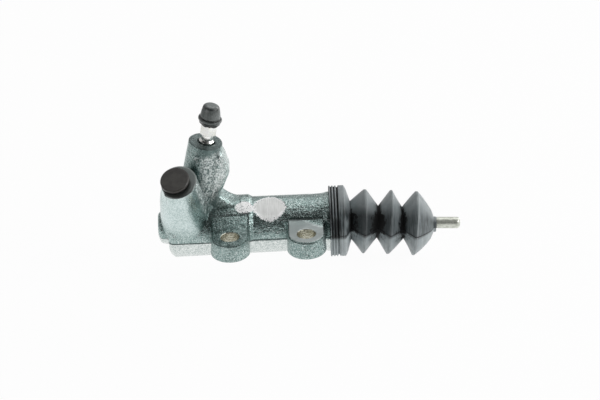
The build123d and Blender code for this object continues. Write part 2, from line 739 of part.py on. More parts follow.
cap_recess = Pos(0, 0, BLEED_L + CAP_LOW_H - 1) * Cylinder(
    corner_r + CAP_HEX_GAP,
    HEX_HIGH + CAP_HEX_GAP - CAP_LOW_H + 1,
    align=(Align.CENTER, Align.CENTER, Align.MIN),
)
cap = cap - cap_hollow - cap_recess
export_step(BLEED * cap, "parts/bleeder_cap.step")

# Shipping plug: flat head on a narrower seat, hollow stem in the port
plug = turned_up(
    [
        (0, INLET_L - PLUG_STEM_L + PLUG_STEM_BORE_L),
        (PLUG_STEM_BORE_R, INLET_L - PLUG_STEM_L + PLUG_STEM_BORE_L),
        (PLUG_STEM_BORE_R, INLET_L - PLUG_STEM_L),
        (PORT_R - PLUG_GAP - PLUG_STEM_CHAMFER, INLET_L - PLUG_STEM_L),
        (PORT_R - PLUG_GAP, INLET_L - PLUG_STEM_L + PLUG_STEM_CHAMFER),
        (PORT_R - PLUG_GAP, INLET_L),
        (PLUG_SEAT_R, INLET_L),
        (PLUG_SEAT_R, INLET_L + PLUG_SEAT_H),
        (PLUG_HEAD_R - PLUG_EDGE_ROUND, INLET_L + PLUG_SEAT_H),
        (PLUG_HEAD_R, INLET_L + PLUG_SEAT_H + PLUG_EDGE_ROUND),
        (PLUG_HEAD_R, INLET_L + PLUG_SEAT_H + PLUG_HEAD_H - PLUG_EDGE_ROUND),
        (PLUG_HEAD_R - PLUG_EDGE_ROUND, INLET_L + PLUG_SEAT_H + PLUG_HEAD_H),
        (0, INLET_L + PLUG_SEAT_H + PLUG_HEAD_H),
    ]
)
export_step(INLET * plug, "parts/port_plug.step")
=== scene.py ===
"""Looks, light and camera for the clutch slave cylinder.

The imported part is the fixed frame, in metres. X runs along the bore towards
the push rod, Z along the bolts, and the bolt lugs face -Y, towards the camera.
"""

import json
import math

import bmesh
import bpy
import numpy as np
from mathutils import Matrix, Vector


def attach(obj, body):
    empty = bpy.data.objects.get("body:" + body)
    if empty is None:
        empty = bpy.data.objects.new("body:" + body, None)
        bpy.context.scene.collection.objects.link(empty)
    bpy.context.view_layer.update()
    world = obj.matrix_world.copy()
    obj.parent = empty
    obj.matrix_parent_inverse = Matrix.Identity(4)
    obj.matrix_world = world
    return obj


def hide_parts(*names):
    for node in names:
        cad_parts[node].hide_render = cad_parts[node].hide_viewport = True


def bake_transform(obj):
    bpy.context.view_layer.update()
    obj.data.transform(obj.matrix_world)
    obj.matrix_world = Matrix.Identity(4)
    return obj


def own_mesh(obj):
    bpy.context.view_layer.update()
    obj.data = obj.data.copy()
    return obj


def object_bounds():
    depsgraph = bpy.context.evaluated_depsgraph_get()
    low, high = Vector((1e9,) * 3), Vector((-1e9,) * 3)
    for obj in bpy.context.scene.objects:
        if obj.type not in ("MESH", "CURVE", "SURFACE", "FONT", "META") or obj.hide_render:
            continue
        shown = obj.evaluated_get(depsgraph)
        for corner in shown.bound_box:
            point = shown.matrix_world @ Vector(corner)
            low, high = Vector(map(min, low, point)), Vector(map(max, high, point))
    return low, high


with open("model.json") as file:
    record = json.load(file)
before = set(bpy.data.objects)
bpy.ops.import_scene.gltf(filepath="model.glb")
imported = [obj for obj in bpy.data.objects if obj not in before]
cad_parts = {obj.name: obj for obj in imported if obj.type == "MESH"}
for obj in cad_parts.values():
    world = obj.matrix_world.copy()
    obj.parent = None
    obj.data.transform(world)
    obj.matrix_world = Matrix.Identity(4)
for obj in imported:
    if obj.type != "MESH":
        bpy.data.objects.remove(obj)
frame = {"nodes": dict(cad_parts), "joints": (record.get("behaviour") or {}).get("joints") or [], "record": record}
cad_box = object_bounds()
joints = {joint["name"]: joint for joint in frame["joints"]}
mounts = {mount["name"]: mount for mount in frame["record"]["mounts"]}

MM = 0.001

# What the frame says
PIVOT = Vector(joints["rod_swing"]["pos_m"])  # the push rod's ball, on the bore axis
BLEED_FOOT = Vector(joints["bleeder_turn"]["pos_m"])
BLEED_AXIS = Vector(joints["bleeder_turn"]["axis"]).normalized()
BLEED_ACROSS = Vector((0, 1, 0)).cross(BLEED_AXIS).normalized()
INLET_AXIS = Vector(joints["plug_pull"]["axis"]).normalized()
INLET_FACE = Vector(mounts["inlet_port"]["pos_m"])

# Camera
CAMERA_ELEVATION = math.radians(29.5)
CAMERA_ROLL = math.radians(2.4)
CAMERA_DISTANCE = 2.0
PIXELS_PER_METRE = 1940.0
IMAGE_WIDTH = 600
SENSOR_MM = 36
LOOK_AT = Vector((17.0 * MM, PIVOT.y, 14.7 * MM))

# Boot, along the bore axis
BOOT_X = 31.8 * MM  # edge of the collar
MOUTH_X = 39.6 * MM  # end of the barrel inside the collar
FLANGE_R = 15.8 * MM
GROOVE_R = 14.4 * MM
GROOVE_X = 35.6 * MM
GROOVE_W = 2.6 * MM
RUBBER_FIT = 0.1 * MM
COLLAR_R = 18.3 * MM
COLLAR_RIBS = 3
RIB_W = 0.9 * MM
RIB_GAP = 0.6 * MM
RIB_STEP = 0.6 * MM
BAND_X = 36.7 * MM
BAND_W = 2.9 * MM
BAND_GROOVE = 1.0 * MM
SHOULDER_X = 40.7 * MM
SHOULDER_R = 16.2 * MM
NECK_X = 42.7 * MM
NECK_R = 9.9 * MM
PITCH = 13.1 * MM
PEAK_1_X = 49.6 * MM
PEAK_R = 16.6 * MM
PEAK_FLAT = 1.0 * MM
VALLEY_R = 8.2 * MM
VALLEY_SHIFT = 0.35 * MM
PEAK_SAGS = (1.0 * MM, 2.05 * MM, 3.43 * MM)
PEAK_TILTS = (4.5, 6.7, 6.7)  # degrees
BOOT_WALL = 1.6 * MM
BOOT_END_X = 85.3 * MM
BOOT_END_R = 4.7 * MM
LIP_L = 1.5 * MM
LIP_R = 4.0 * MM
LIP_HOLE_R = 3.25 * MM
LIP_HANG = 1.0 * MM  # below the rod's axis
ROD_DROOP = math.radians(2.9)
BOOT_SEGMENTS = 144
SEAM_ANGLE = math.radians(3.4)  # above the horizontal, on the side of the lugs
SEAM_HALF = math.radians(0.9)
SEAM_PROUD = 0.22 * MM
# Painted highlights along the folds' crests
CREST_LINE = 0.3 * MM
CREST_SHARES = (0.1, 0.2, 0.85)  # how clear the line is on each fold

# Casting
GRAIN = 0.9 * MM
GRAIN_DEPTH = 0.38 * MM
SPARKLE = 0.55 * MM
LUMPS = 3.2 * MM
CLOUDS = 11 * MM
CAST_ROUND = 0.8 * MM  # soft corners of the casting
BARREL_R = 14.5 * MM
# Ground patch and stub: X, degrees up round the bore, half length, half width, power
PATCH_OVAL = (1.1 * MM, 66.0, 9.0 * MM, 8.7 * MM, 1.6)
STUB_OVAL = (-11.8 * MM, 64.0, 5.0 * MM, 3.5 * MM, 2.0)
PATCH_LEAN = math.radians(70)  # the ground patch's flat, above the horizontal
LUG_TOP = 9.8 * MM
BOLT_X = 19.5 * MM
BOLT_HOLE_R = 4.7 * MM
INLET_RIGHT_X = -31.0 * MM
CLOSED_END_X = -56.7 * MM
BLEED_FACE = 50.9 * MM  # from the bore axis, along the bleed screw

# How far the casting's skin is drawn in or out, as rows of place and move, all in mm
SWELL_MOVES = (  # height along the bleed screw, move to its right
    (18.5, 0.0),
    (21.5, -1.7),
    (23.3, -2.7),
    (24.5, -2.4),
    (26.4, -1.3),
    (27.8, -0.1),
    (30.0, 0.45),
    (36.0, 0.3),
    (38.0, 0.0),
    (39.0, -0.5),
    (40.4, -1.3),
    (41.6, -2.1),
    (43.5, -2.7),
    (48.0, -3.0),
    (49.2, -2.2),
    (50.4, -0.9),
    (51.2, 0.0),
)
INLET_L = 42.3  # from the bore's axis to the inlet's face
BOSS_MOVES = ((20.0, 0.0), (28.0, 0.1), (33.0, 0.5), (37.0, 1.4), (INLET_L, 1.3))  # height, inwards
# X, outwards
BELLY_MOVES = ((-45.0, 1.5), (-8.0, 1.6), (0.0, 1.4), (8.0, 1.0), (20.0, 0.6), (31.0, 0.0))
FLARE_MOVES = ((21.0, 0.0), (26.0, -0.3), (29.0, -0.65), (31.0, -0.5), (32.0, 0.0))
# From the closed end, and the share of its radius that is left
END_ROUND = ((0.0, 0.62), (0.6, 0.78), (1.5, 0.89), (3.0, 0.97), (4.2, 1.0))

# Bleeder cap, heights above the bore axis along the bleed screw
CAP_LOW = 61.9 * MM
CAP_RING_LOW = 63.4 * MM
CAP_RING_HIGH = 65.0 * MM
CAP_TOP = 72.3 * MM
CAP_RING_R = 6.15 * MM
CAP_SKIRT_R = 5.1 * MM
CAP_BODY_R = 5.3 * MM
CAP_TOP_R = 3.7 * MM
CAP_LEAN = math.radians(3)  # towards the closed end
CAP_HOLE_R = 3.4 * MM
CAP_RECESS_R = 4.95 * MM
CAP_RECESS_TOP = 61.7 * MM
CAP_HOLE_TOP = 69.4 * MM
CAP_SCALLOP = 0.5 * MM
CAP_SEGMENTS = 96


# Materials


class Look:
    """A procedural material, with a short call for each kind of node."""

    def __init__(self, name):
        self.material = bpy.data.materials.new(name)
        self.material.use_nodes = True
        self.tree = self.material.node_tree
        self.shader = self.tree.nodes["Principled BSDF"]
        self.place = self.add("ShaderNodeTexCoord").outputs["Object"]

    def add(self, kind, **settings):
        node = self.tree.nodes.new(kind)
        for name, value in settings.items():
            setattr(node, name, value)
        return node

    def feed(self, socket, value):
        if isinstance(value, bpy.types.NodeSocket):
            self.tree.links.new(value, socket)
        else:
            socket.default_value = value

    def set(self, name, value):
        if isinstance(value, tuple):
            value = (*value, 1.0)
        self.feed(self.shader.inputs[name], value)

    def math(self, operation, *values):
        node = self.add("ShaderNodeMath", operation=operation)
        for socket, value in zip(node.inputs, values):
            self.feed(socket, value)
        return node.outputs[0]

    def times(self, product, *others):
        for other in others:
            product = self.math("MULTIPLY", product, other)
        return product

    def most(self, largest, *others):
        for other in others:
            largest = self.math("MAXIMUM", largest, other)
        return largest

    def less(self, a, b):
        return self.math("SUBTRACT", a, b)

    def without(self, share):
        """What a share leaves of 1."""
        return self.less(1.0, share)

    def length(self, a, b):
        """The length of a line that goes a one way and b across."""
        squares = self.math("ADD", self.math("POWER", a, 2.0), self.math("POWER", b, 2.0))
        return self.math("SQRT", squares)

    def stretched(self, scale):
        """The place, scaled along each axis."""
        node = self.add("ShaderNodeMapping", vector_type="POINT")
        self.feed(node.inputs["Vector"], self.place)
        node.inputs["Scale"].default_value = scale
        return node.outputs[0]

    def noise(self, size, detail=3.0, rough=0.6, place=None):
        """Noise with blotches about size metres across, from 0 to 1."""
        node = self.add("ShaderNodeTexNoise")
        self.feed(node.inputs["Vector"], place or self.place)
        node.inputs["Scale"].default_value = 1 / size
        node.inputs["Detail"].default_value = detail
        node.inputs["Roughness"].default_value = rough
        return node.outputs[0]

    def spread(self, value, low, high, to_low=0.0, to_high=1.0):
        """value from low to high, turned smoothly into to_low to to_high."""
        node = self.add("ShaderNodeMapRange", interpolation_type="SMOOTHSTEP")
        for name, given in (
            ("Value", value),
            ("From Min", low),
            ("From Max", high),
            ("To Min", to_low),
            ("To Max", to_high),
        ):
            self.feed(node.inputs[name], given)
        return node.outputs[0]

    def fade(self, value, low, high):
        """1 up to low, 0 from high."""
        return self.spread(value, low, high, 1.0, 0.0)

    def between(self, value, low, high, edge):
        """1 where value is from low to high, fading to 0 over edge outside."""
        return self.times(self.spread(value, low - edge, low), self.fade(value, high, high + edge))

    def mix(self, share, a, b):
        node = self.add("ShaderNodeMix", data_type="RGBA")
        self.feed(node.inputs[0], share)
        self.feed(node.inputs[6], (*a, 1.0) if isinstance(a, tuple) else a)
        self.feed(node.inputs[7], (*b, 1.0) if isinstance(b, tuple) else b)
        return node.outputs[2]

    def lerp(self, share, a, b):
        """A number from a to b by share."""
        node = self.add("ShaderNodeMix", data_type="FLOAT")
        self.feed(node.inputs[0], share)
        self.feed(node.inputs[2], a)
        self.feed(node.inputs[3], b)
        return node.outputs[0]

    def xyz(self):
        node = self.add("ShaderNodeSeparateXYZ")
        self.feed(node.inputs[0], self.place)
        return node.outputs[0], node.outputs[1], node.outputs[2]

    def dot(self, axis, origin):
        """How far a point is along axis from origin, in metres."""
        node = self.add("ShaderNodeVectorMath", operation="DOT_PRODUCT")
        self.feed(node.inputs[0], self.place)
        node.inputs[1].default_value = axis
        return self.less(node.outputs["Value"], axis.dot(origin))

    def away(self, point):
        """How far a point is from another, in metres."""
        node = self.add("ShaderNodeVectorMath", operation="DISTANCE")
        self.feed(node.inputs[0], self.place)
        node.inputs[1].default_value = point
        return node.outputs["Value"]

    def stored(self, name):
        """A number kept on the mesh's points."""
        return self.add("ShaderNodeAttribute", attribute_name=name).outputs["Fac"]

    def flat_facing(self, normal):
        """A fixed normal in the piece's own space."""
        node = self.add(
            "ShaderNodeVectorTransform",
            vector_type="NORMAL",
            convert_from="OBJECT",
            convert_to="WORLD",
        )
        node.inputs[0].default_value = normal
        return node.outputs[0]

    def directions(self, share, a, b):
        """A direction between two others."""
        node = self.add("ShaderNodeMix", data_type="VECTOR")
        self.feed(node.inputs[0], share)
        self.feed(node.inputs[4], a)
        self.feed(node.inputs[5], b)
        unit = self.add("ShaderNodeVectorMath", operation="NORMALIZE")
        self.feed(unit.inputs[0], node.outputs[1])
        return unit.outputs[0]

    def open_share(self, reach):
        """1 in the open, and less in corners and against other pieces."""
        node = self.add("ShaderNodeAmbientOcclusion", samples=6)
        node.inputs["Distance"].default_value = reach
        return node.outputs["AO"]

    def edge_share(self, soft):
        """0 on a smooth surface, rising on its sharp edges."""
        true = self.add("ShaderNodeNewGeometry").outputs["True Normal"]
        node = self.add("ShaderNodeVectorMath", operation="DOT_PRODUCT")
        self.feed(node.inputs[0], soft)
        self.feed(node.inputs[1], true)
        return self.without(node.outputs["Value"])

    def soft_corners(self, radius):
        """The surface's normal with its corners rounded off."""
        node = self.add("ShaderNodeBevel", samples=6)
        self.feed(node.inputs["Radius"], radius)
        return node.outputs[0]

    def bump(self, height, depth, under=None):
        """Bump of that depth in metres, over an earlier bump if there is one."""
        node = self.add("ShaderNodeBump")
        node.inputs["Distance"].default_value = depth
        self.feed(node.inputs["Height"], height)
        if under is not None:
            self.feed(node.inputs["Normal"], under)
        return node.outputs[0]


def ragged_oval(look, x, turn, ragged, oval):
    """How far out a point is on an oval round the barrel: 1 on its ragged edge."""
    at_x, at_turn, half_x, half_turn, power = oval
    along = look.less(x, at_x)
    round_it = look.times(look.less(turn, math.radians(at_turn)), BARREL_R)
    total = look.math(
        "ADD",
        look.math("POWER", look.math("ABSOLUTE", look.math("DIVIDE", along, half_x)), power),
        look.math("POWER", look.math("ABSOLUTE", look.math("DIVIDE", round_it, half_turn)), power),
    )
    return look.math("ADD", total, ragged)


def ground_patch(look, x, side, height):
    """Shares for the bare metal across the top of the barrel, and for its smooth middle."""
    turn = look.math("ARCTAN2", height, side)
    ragged = look.times(look.less(look.noise(1.3 * MM, 4.0, 0.7), 0.5), 0.8)
    reach = ragged_oval(look, x, turn, ragged, PATCH_OVAL)
    patch = look.fade(reach, 0.9, 1.0)
    stub = look.fade(ragged_oval(look, x, turn, ragged, STUB_OVAL), 0.85, 0.95)
    on_lug_side = look.spread(side, -9 * MM, -7 * MM)
    bare = look.times(look.most(patch, stub), on_lug_side)
    polished = look.times(look.fade(reach, 0.62, 0.8), on_lug_side)
    return bare, polished


def machined_faces(look, x, y, z):
    """Shares for the right lug's pad, the inlet's face and the walls of the bolt holes."""
    pad = look.between(z, LUG_TOP - 0.1 * MM, LUG_TOP + 0.1 * MM, 0.1 * MM)
    pad = look.times(pad, look.spread(x, 4 * MM, 6 * MM))
    port_face = look.spread(look.dot(INLET_AXIS, INLET_FACE), -0.45 * MM, -0.25 * MM)
    port_face = look.times(port_face, look.fade(look.away(INLET_FACE), 12 * MM, 13 * MM))
    from_bolt = look.length(look.less(look.math("ABSOLUTE", x), BOLT_X), y)
    bolt_walls = look.fade(from_bolt, BOLT_HOLE_R + 0.15 * MM, BOLT_HOLE_R + 0.4 * MM)
    return pad, port_face, bolt_walls


def cast_skin(look, fine, clouds, speck, boss_front):
    """Dark teal with bright sparkles and black pits, calmer on the inlet boss's front, where it is painted lighter
    as a reflection of the floor.
    """
    cast = look.mix(speck, (0.24, 0.335, 0.32), (0.50, 0.61, 0.59))
    cast = look.mix(look.spread(clouds, 0.35, 0.65, 0.0, 0.4), cast, (0.20, 0.285, 0.275))
    cast = look.mix(look.spread(fine, 0.6, 0.7), cast, (0.86, 0.93, 0.92))
    cast = look.mix(look.spread(fine, 0.28, 0.36, 0.8, 0.0), cast, (0.06, 0.085, 0.08))
    calm_reflecting_cast = look.mix(speck, (0.52, 0.63, 0.62), (0.72, 0.82, 0.81))
    calm_share = look.times(boss_front, look.spread(clouds, 0.3, 0.6, 0.7, 1.0))
    return look.mix(calm_share, cast, calm_reflecting_cast)


def bleeder_shade_and_marks(look, cast, side, speck, lumps, on_inlet):
    """The bleeder boss's painted shade in its hollows, round its root and down its middle, a painted highlight on
    its ridge, its dull top, and its duller share.
    """
    up_screw = look.dot(BLEED_AXIS, BLEED_FOOT)
    beside = look.dot(BLEED_ACROSS, BLEED_FOOT)
    on_boss = look.times(look.spread(up_screw, 21 * MM, 27 * MM), look.spread(side, 1 * MM, 5 * MM))
    # Painted shade in the hollows beside the screw
    hollow_shade = look.most(
        look.between(beside, -3.6 * MM, 0.5 * MM, 1.6 * MM),
        look.between(beside, 5.0 * MM, 6.8 * MM, 1.2 * MM),
    )
    cast = look.mix(look.times(hollow_shade, on_boss, 0.62), cast, (0.13, 0.19, 0.185))

    # Painted shade round the boss's root, between it and the inlet boss
    root = look.times(
        look.between(up_screw, 17 * MM, 27 * MM, 4 * MM),
        look.between(beside, -9 * MM, 9 * MM, 3 * MM),
        look.without(on_inlet),
        look.spread(lumps, 0.35, 0.6, 0.45, 0.8),
    )
    cast = look.mix(root, cast, (0.10, 0.15, 0.145))
    # Painted shade down the boss's middle
    middle = look.times(look.between(beside, 0.0, 6 * MM, 2 * MM), on_boss)
    cast = look.mix(look.times(middle, 0.6), cast, (0.17, 0.235, 0.225))

    # A painted highlight on the ridge beside the boss
    ridge_highlight = look.times(
        look.spread(beside, 7.6 * MM, 9.2 * MM),
        look.spread(up_screw, 26 * MM, 33 * MM),
        0.6,
    )
    cast = look.mix(ridge_highlight, cast, look.mix(speck, (0.60, 0.68, 0.66), (0.86, 0.93, 0.91)))
    top = look.times(
        look.spread(up_screw, BLEED_FACE - 0.5 * MM, BLEED_FACE - 0.2 * MM),
        look.fade(look.math("ABSOLUTE", beside), 11 * MM, 12 * MM),
        0.7,
    )
    cast = look.mix(top, cast, (0.13, 0.155, 0.155))
    return cast, look.most(root, middle)


def rim_highlight(look, cast, speck):
    """A painted highlight up the inlet boss, on the side of the push rod."""
    right = Vector((1, 0, 0))
    right = (right - right.dot(INLET_AXIS) * INLET_AXIS).normalized()
    line = look.times(
        look.spread(look.dot(right, INLET_FACE), 9.3 * MM, 10.2 * MM),
        look.between(look.dot(INLET_AXIS, INLET_FACE), -26 * MM, -1.5 * MM, 3 * MM),
        look.fade(look.away(INLET_FACE), 26 * MM, 30 * MM),
        speck,
    )
    return look.mix(line, cast, (0.92, 0.97, 0.96))


def casting_look():
    """Rough plated cast iron, with smooth machined faces and the ground patch."""
    look = Look("casting")
    x, y, z = look.xyz()
    side = look.less(PIVOT.y, y)
    height = look.less(z, PIVOT.z)
    grain = look.noise(GRAIN, 2.0, 0.7)
    fine = look.noise(SPARKLE, 1.0, 0.5)
    lumps = look.noise(LUMPS, 2.0, 0.5)
    clouds = look.noise(CLOUDS, 2.0, 0.5)
    speck = look.spread(grain, 0.38, 0.62)
    soft = look.soft_corners(CAST_ROUND)
    bare, polished = ground_patch(look, x, side, height)
    pad, port_face, bolt_walls = machined_faces(look, x, y, z)
    machined = look.most(pad, port_face)

    # How rough the cast skin is: calmer on the inlet boss and under the parting line
    on_inlet = look.fade(x, INLET_RIGHT_X - 6 * MM, INLET_RIGHT_X)
    on_inlet = look.times(on_inlet, look.spread(side, 7 * MM, 12 * MM))
    under = look.fade(z, -1.0 * MM, -0.3 * MM)
    calm = look.most(
        look.times(on_inlet, 0.6),
        look.times(under, 0.6),
        look.times(machined, 0.85),
    )

    boss_front = look.times(on_inlet, look.spread(z, 2.5 * MM, 15 * MM, 0.1, 1.0))
    cast = cast_skin(look, fine, clouds, speck, boss_front)
    cast, duller = bleeder_shade_and_marks(look, cast, side, speck, lumps, on_inlet)
    cast = rim_highlight(look, cast, speck)

    # Painted shade in the corners and a painted dark reflection along sharp edges, but not on the left lug's root
    corners = look.spread(look.open_share(9 * MM), 0.35, 0.9, 0.75, 0.0)
    cast = look.mix(corners, cast, (0.07, 0.11, 0.105))
    lug_root = look.times(
        look.spread(z, 7.5 * MM, 9 * MM),
        look.between(x, -32 * MM, -9 * MM, 2 * MM),
        look.fade(side, 14 * MM, 17 * MM),
    )
    edge_dark_reflection = look.times(
        look.spread(look.edge_share(soft), 0.04, 0.2, 0.0, 0.65),
        look.without(on_inlet),
        look.without(lug_root),
    )
    cast = look.mix(edge_dark_reflection, cast, (0.05, 0.075, 0.07))

    # Painted reflection of the white floor under the parting line, most of all on the side of the lugs
    floor_lit_pale = look.mix(speck, (0.50, 0.56, 0.545), (0.74, 0.79, 0.77))
    floor_lit_pale = look.mix(look.spread(fine, 0.55, 0.68), floor_lit_pale, (0.95, 0.97, 0.96))
    cast = look.mix(look.times(under, look.spread(side, -8 * MM, 3 * MM, 0.3, 1.0)), cast, floor_lit_pale)

    # Painted shade above the left lug, and a painted shadow along the parting line away from the lugs
    left_top_shade = look.times(
        look.between(z, LUG_TOP - 0.6 * MM, LUG_TOP + 1 * MM, 3 * MM),
        look.between(x, -26 * MM, -13 * MM, 5 * MM),
        look.spread(lumps, 0.35, 0.6, 0.15, 0.7),
    )
    cast = look.mix(left_top_shade, cast, (0.09, 0.135, 0.13))
    pad_tone = look.mix(look.spread(clouds, 0.35, 0.6), (0.42, 0.47, 0.465), (0.50, 0.55, 0.545))
    cast = look.mix(pad, cast, pad_tone)
    cast = look.mix(port_face, cast, (0.29, 0.32, 0.312))
    cast = look.mix(bolt_walls, cast, (0.60, 0.59, 0.50))
    # The parting line's painted shadow under its step
    from_lug = look.less(side, BARREL_R + 1.5 * MM)
    seam = look.times(
        look.between(z, 0.05 * MM, 0.6 * MM, 0.35 * MM),
        look.fade(from_lug, -0.5 * MM, 0.5 * MM),
        look.spread(side, 8 * MM, 10 * MM),
        0.88,
    )
    cast = look.mix(seam, cast, (0.03, 0.045, 0.045))

    # The ground patch: brushed in the middle, white with black pits round it
    strokes = look.noise(0.5 * MM, 2.0, 0.5, look.stretched((1.0, 0.06, 0.06)))
    ground = look.mix(look.spread(strokes, 0.3, 0.7), (0.82, 0.835, 0.82), (0.98, 0.99, 0.98))
    rough_ground = look.mix(look.spread(fine, 0.33, 0.42), (0.16, 0.2, 0.2), (1.0, 1.0, 1.0))
    ground = look.mix(polished, rough_ground, ground)
    look.set("Base Color", look.mix(bare, cast, ground))
    look.set("Metallic", look.lerp(bare, 0.95, look.lerp(polished, 0.7, 0.4)))
    skin_rough = look.lerp(machined, look.spread(fine, 0.3, 0.7, 0.2, 0.34), 0.32)
    skin_rough = look.math("ADD", skin_rough, look.times(duller, 0.25))
    look.set("Roughness", look.lerp(bare, skin_rough, 0.5))
    look.set("Specular IOR Level", 0.5)

    depth = look.lerp(polished, look.lerp(bare, look.without(calm), 0.9), 0.12)
    grains = look.bump(look.times(grain, depth), GRAIN_DEPTH, soft)
    bumps = look.bump(look.times(lumps, depth), 0.5 * MM, grains)
    facet = look.flat_facing(Vector((0, -math.cos(PATCH_LEAN), math.sin(PATCH_LEAN))))
    look.set("Normal", look.directions(look.times(bare, 0.85), bumps, facet))
    return look.material


def zinc_look():
    """Zinc plated steel with a faint yellow cast."""
    look = Look("zinc")
    tone = look.noise(1.8 * MM, 3.0, 0.6)
    fine = look.noise(0.18 * MM, 2.0, 0.6)
    patches = look.spread(tone, 0.35, 0.65)
    look.set("Base Color", look.mix(patches, (0.97, 0.97, 0.91), (1.0, 1.0, 0.99)))
    look.set("Metallic", 1.0)
    look.set("Roughness", look.spread(fine, 0.3, 0.7, 0.12, 0.22))
    look.set("Normal", look.bump(fine, 0.01 * MM, look.soft_corners(0.25 * MM)))
    return look.material


def rod_look():
    """The push rod's plated steel, duller than the bleed screw's."""
    look = Look("rod_plating")
    tone = look.noise(1.6 * MM, 3.0, 0.6)
    fine = look.noise(0.25 * MM, 2.0, 0.6)
    patches = look.spread(tone, 0.35, 0.65)
    look.set("Base Color", look.mix(patches, (0.66, 0.69, 0.60), (0.88, 0.90, 0.82)))
    look.set("Metallic", 0.5)
    look.set("Roughness", look.spread(fine, 0.3, 0.7, 0.28, 0.42))
    look.set("Normal", look.bump(fine, 0.03 * MM, look.soft_corners(0.3 * MM)))
    return look.material


def seal_look():
    """The cup seals' black rubber, with a faint dry bloom."""
    look = Look("seal_rubber")
    clouds = look.noise(6 * MM, 4.0, 0.6)
    grain = look.noise(0.3 * MM, 3.0, 0.65)
    tone = look.mix(look.spread(clouds, 0.3, 0.7), (0.02, 0.02, 0.022), (0.035, 0.035, 0.038))
    tone = look.mix(look.spread(grain, 0.45, 0.75, 0.0, 0.1), tone, (0.20, 0.23, 0.25))
    look.set("Base Color", tone)
    look.set("Roughness", look.spread(clouds, 0.3, 0.7, 0.36, 0.52))
    look.set("Specular IOR Level", 0.5)
    look.set("Normal", look.bump(grain, 0.05 * MM))
    return look.material


def cap_look():
    """The bleeder cap's rubber: grey on the dome with painted light on its top and a painted highlight round it,
    and painted shade at its shoulder, in the notch above its ring and under its ring.
    """
    look = Look("cap_rubber")
    dark = look.stored("dark")
    clouds = look.noise(3 * MM, 4.0, 0.6)
    grain = look.noise(0.35 * MM, 3.0, 0.65)
    up_cap = look.dot(BLEED_AXIS, BLEED_FOOT)
    tone = look.mix(look.spread(clouds, 0.3, 0.7), (0.12, 0.136, 0.132), (0.19, 0.21, 0.205))
    # A painted highlight round the dome, painted light on its top and painted shade at its shoulder
    highlight_band = look.between(up_cap, CAP_RING_HIGH + 1.6 * MM, CAP_RING_HIGH + 2.6 * MM, 1.6 * MM)
    tone = look.mix(look.times(highlight_band, 0.6), tone, (0.2, 0.225, 0.22))
    top = look.spread(up_cap, CAP_TOP - 0.5 * MM, CAP_TOP - 0.25 * MM)
    tone = look.mix(top, tone, (0.22, 0.245, 0.24))
    shoulder = look.between(up_cap, CAP_TOP - 1.3 * MM, CAP_TOP - 0.8 * MM, 0.35 * MM)
    tone = look.mix(look.times(shoulder, 0.7), tone, (0.02, 0.024, 0.024))
    tone = look.mix(look.spread(grain, 0.5, 0.8, 0.0, 0.2), tone, (0.2, 0.22, 0.22))
    # The stored dark share is painted shade under the ring and in the notch above it
    look.set("Base Color", look.mix(dark, tone, (0.006, 0.007, 0.007)))
    look.set("Roughness", look.spread(clouds, 0.3, 0.7, 0.2, 0.3))
    look.set("Specular IOR Level", 0.8)
    look.set("Normal", look.bump(grain, 0.05 * MM))
    return look.material


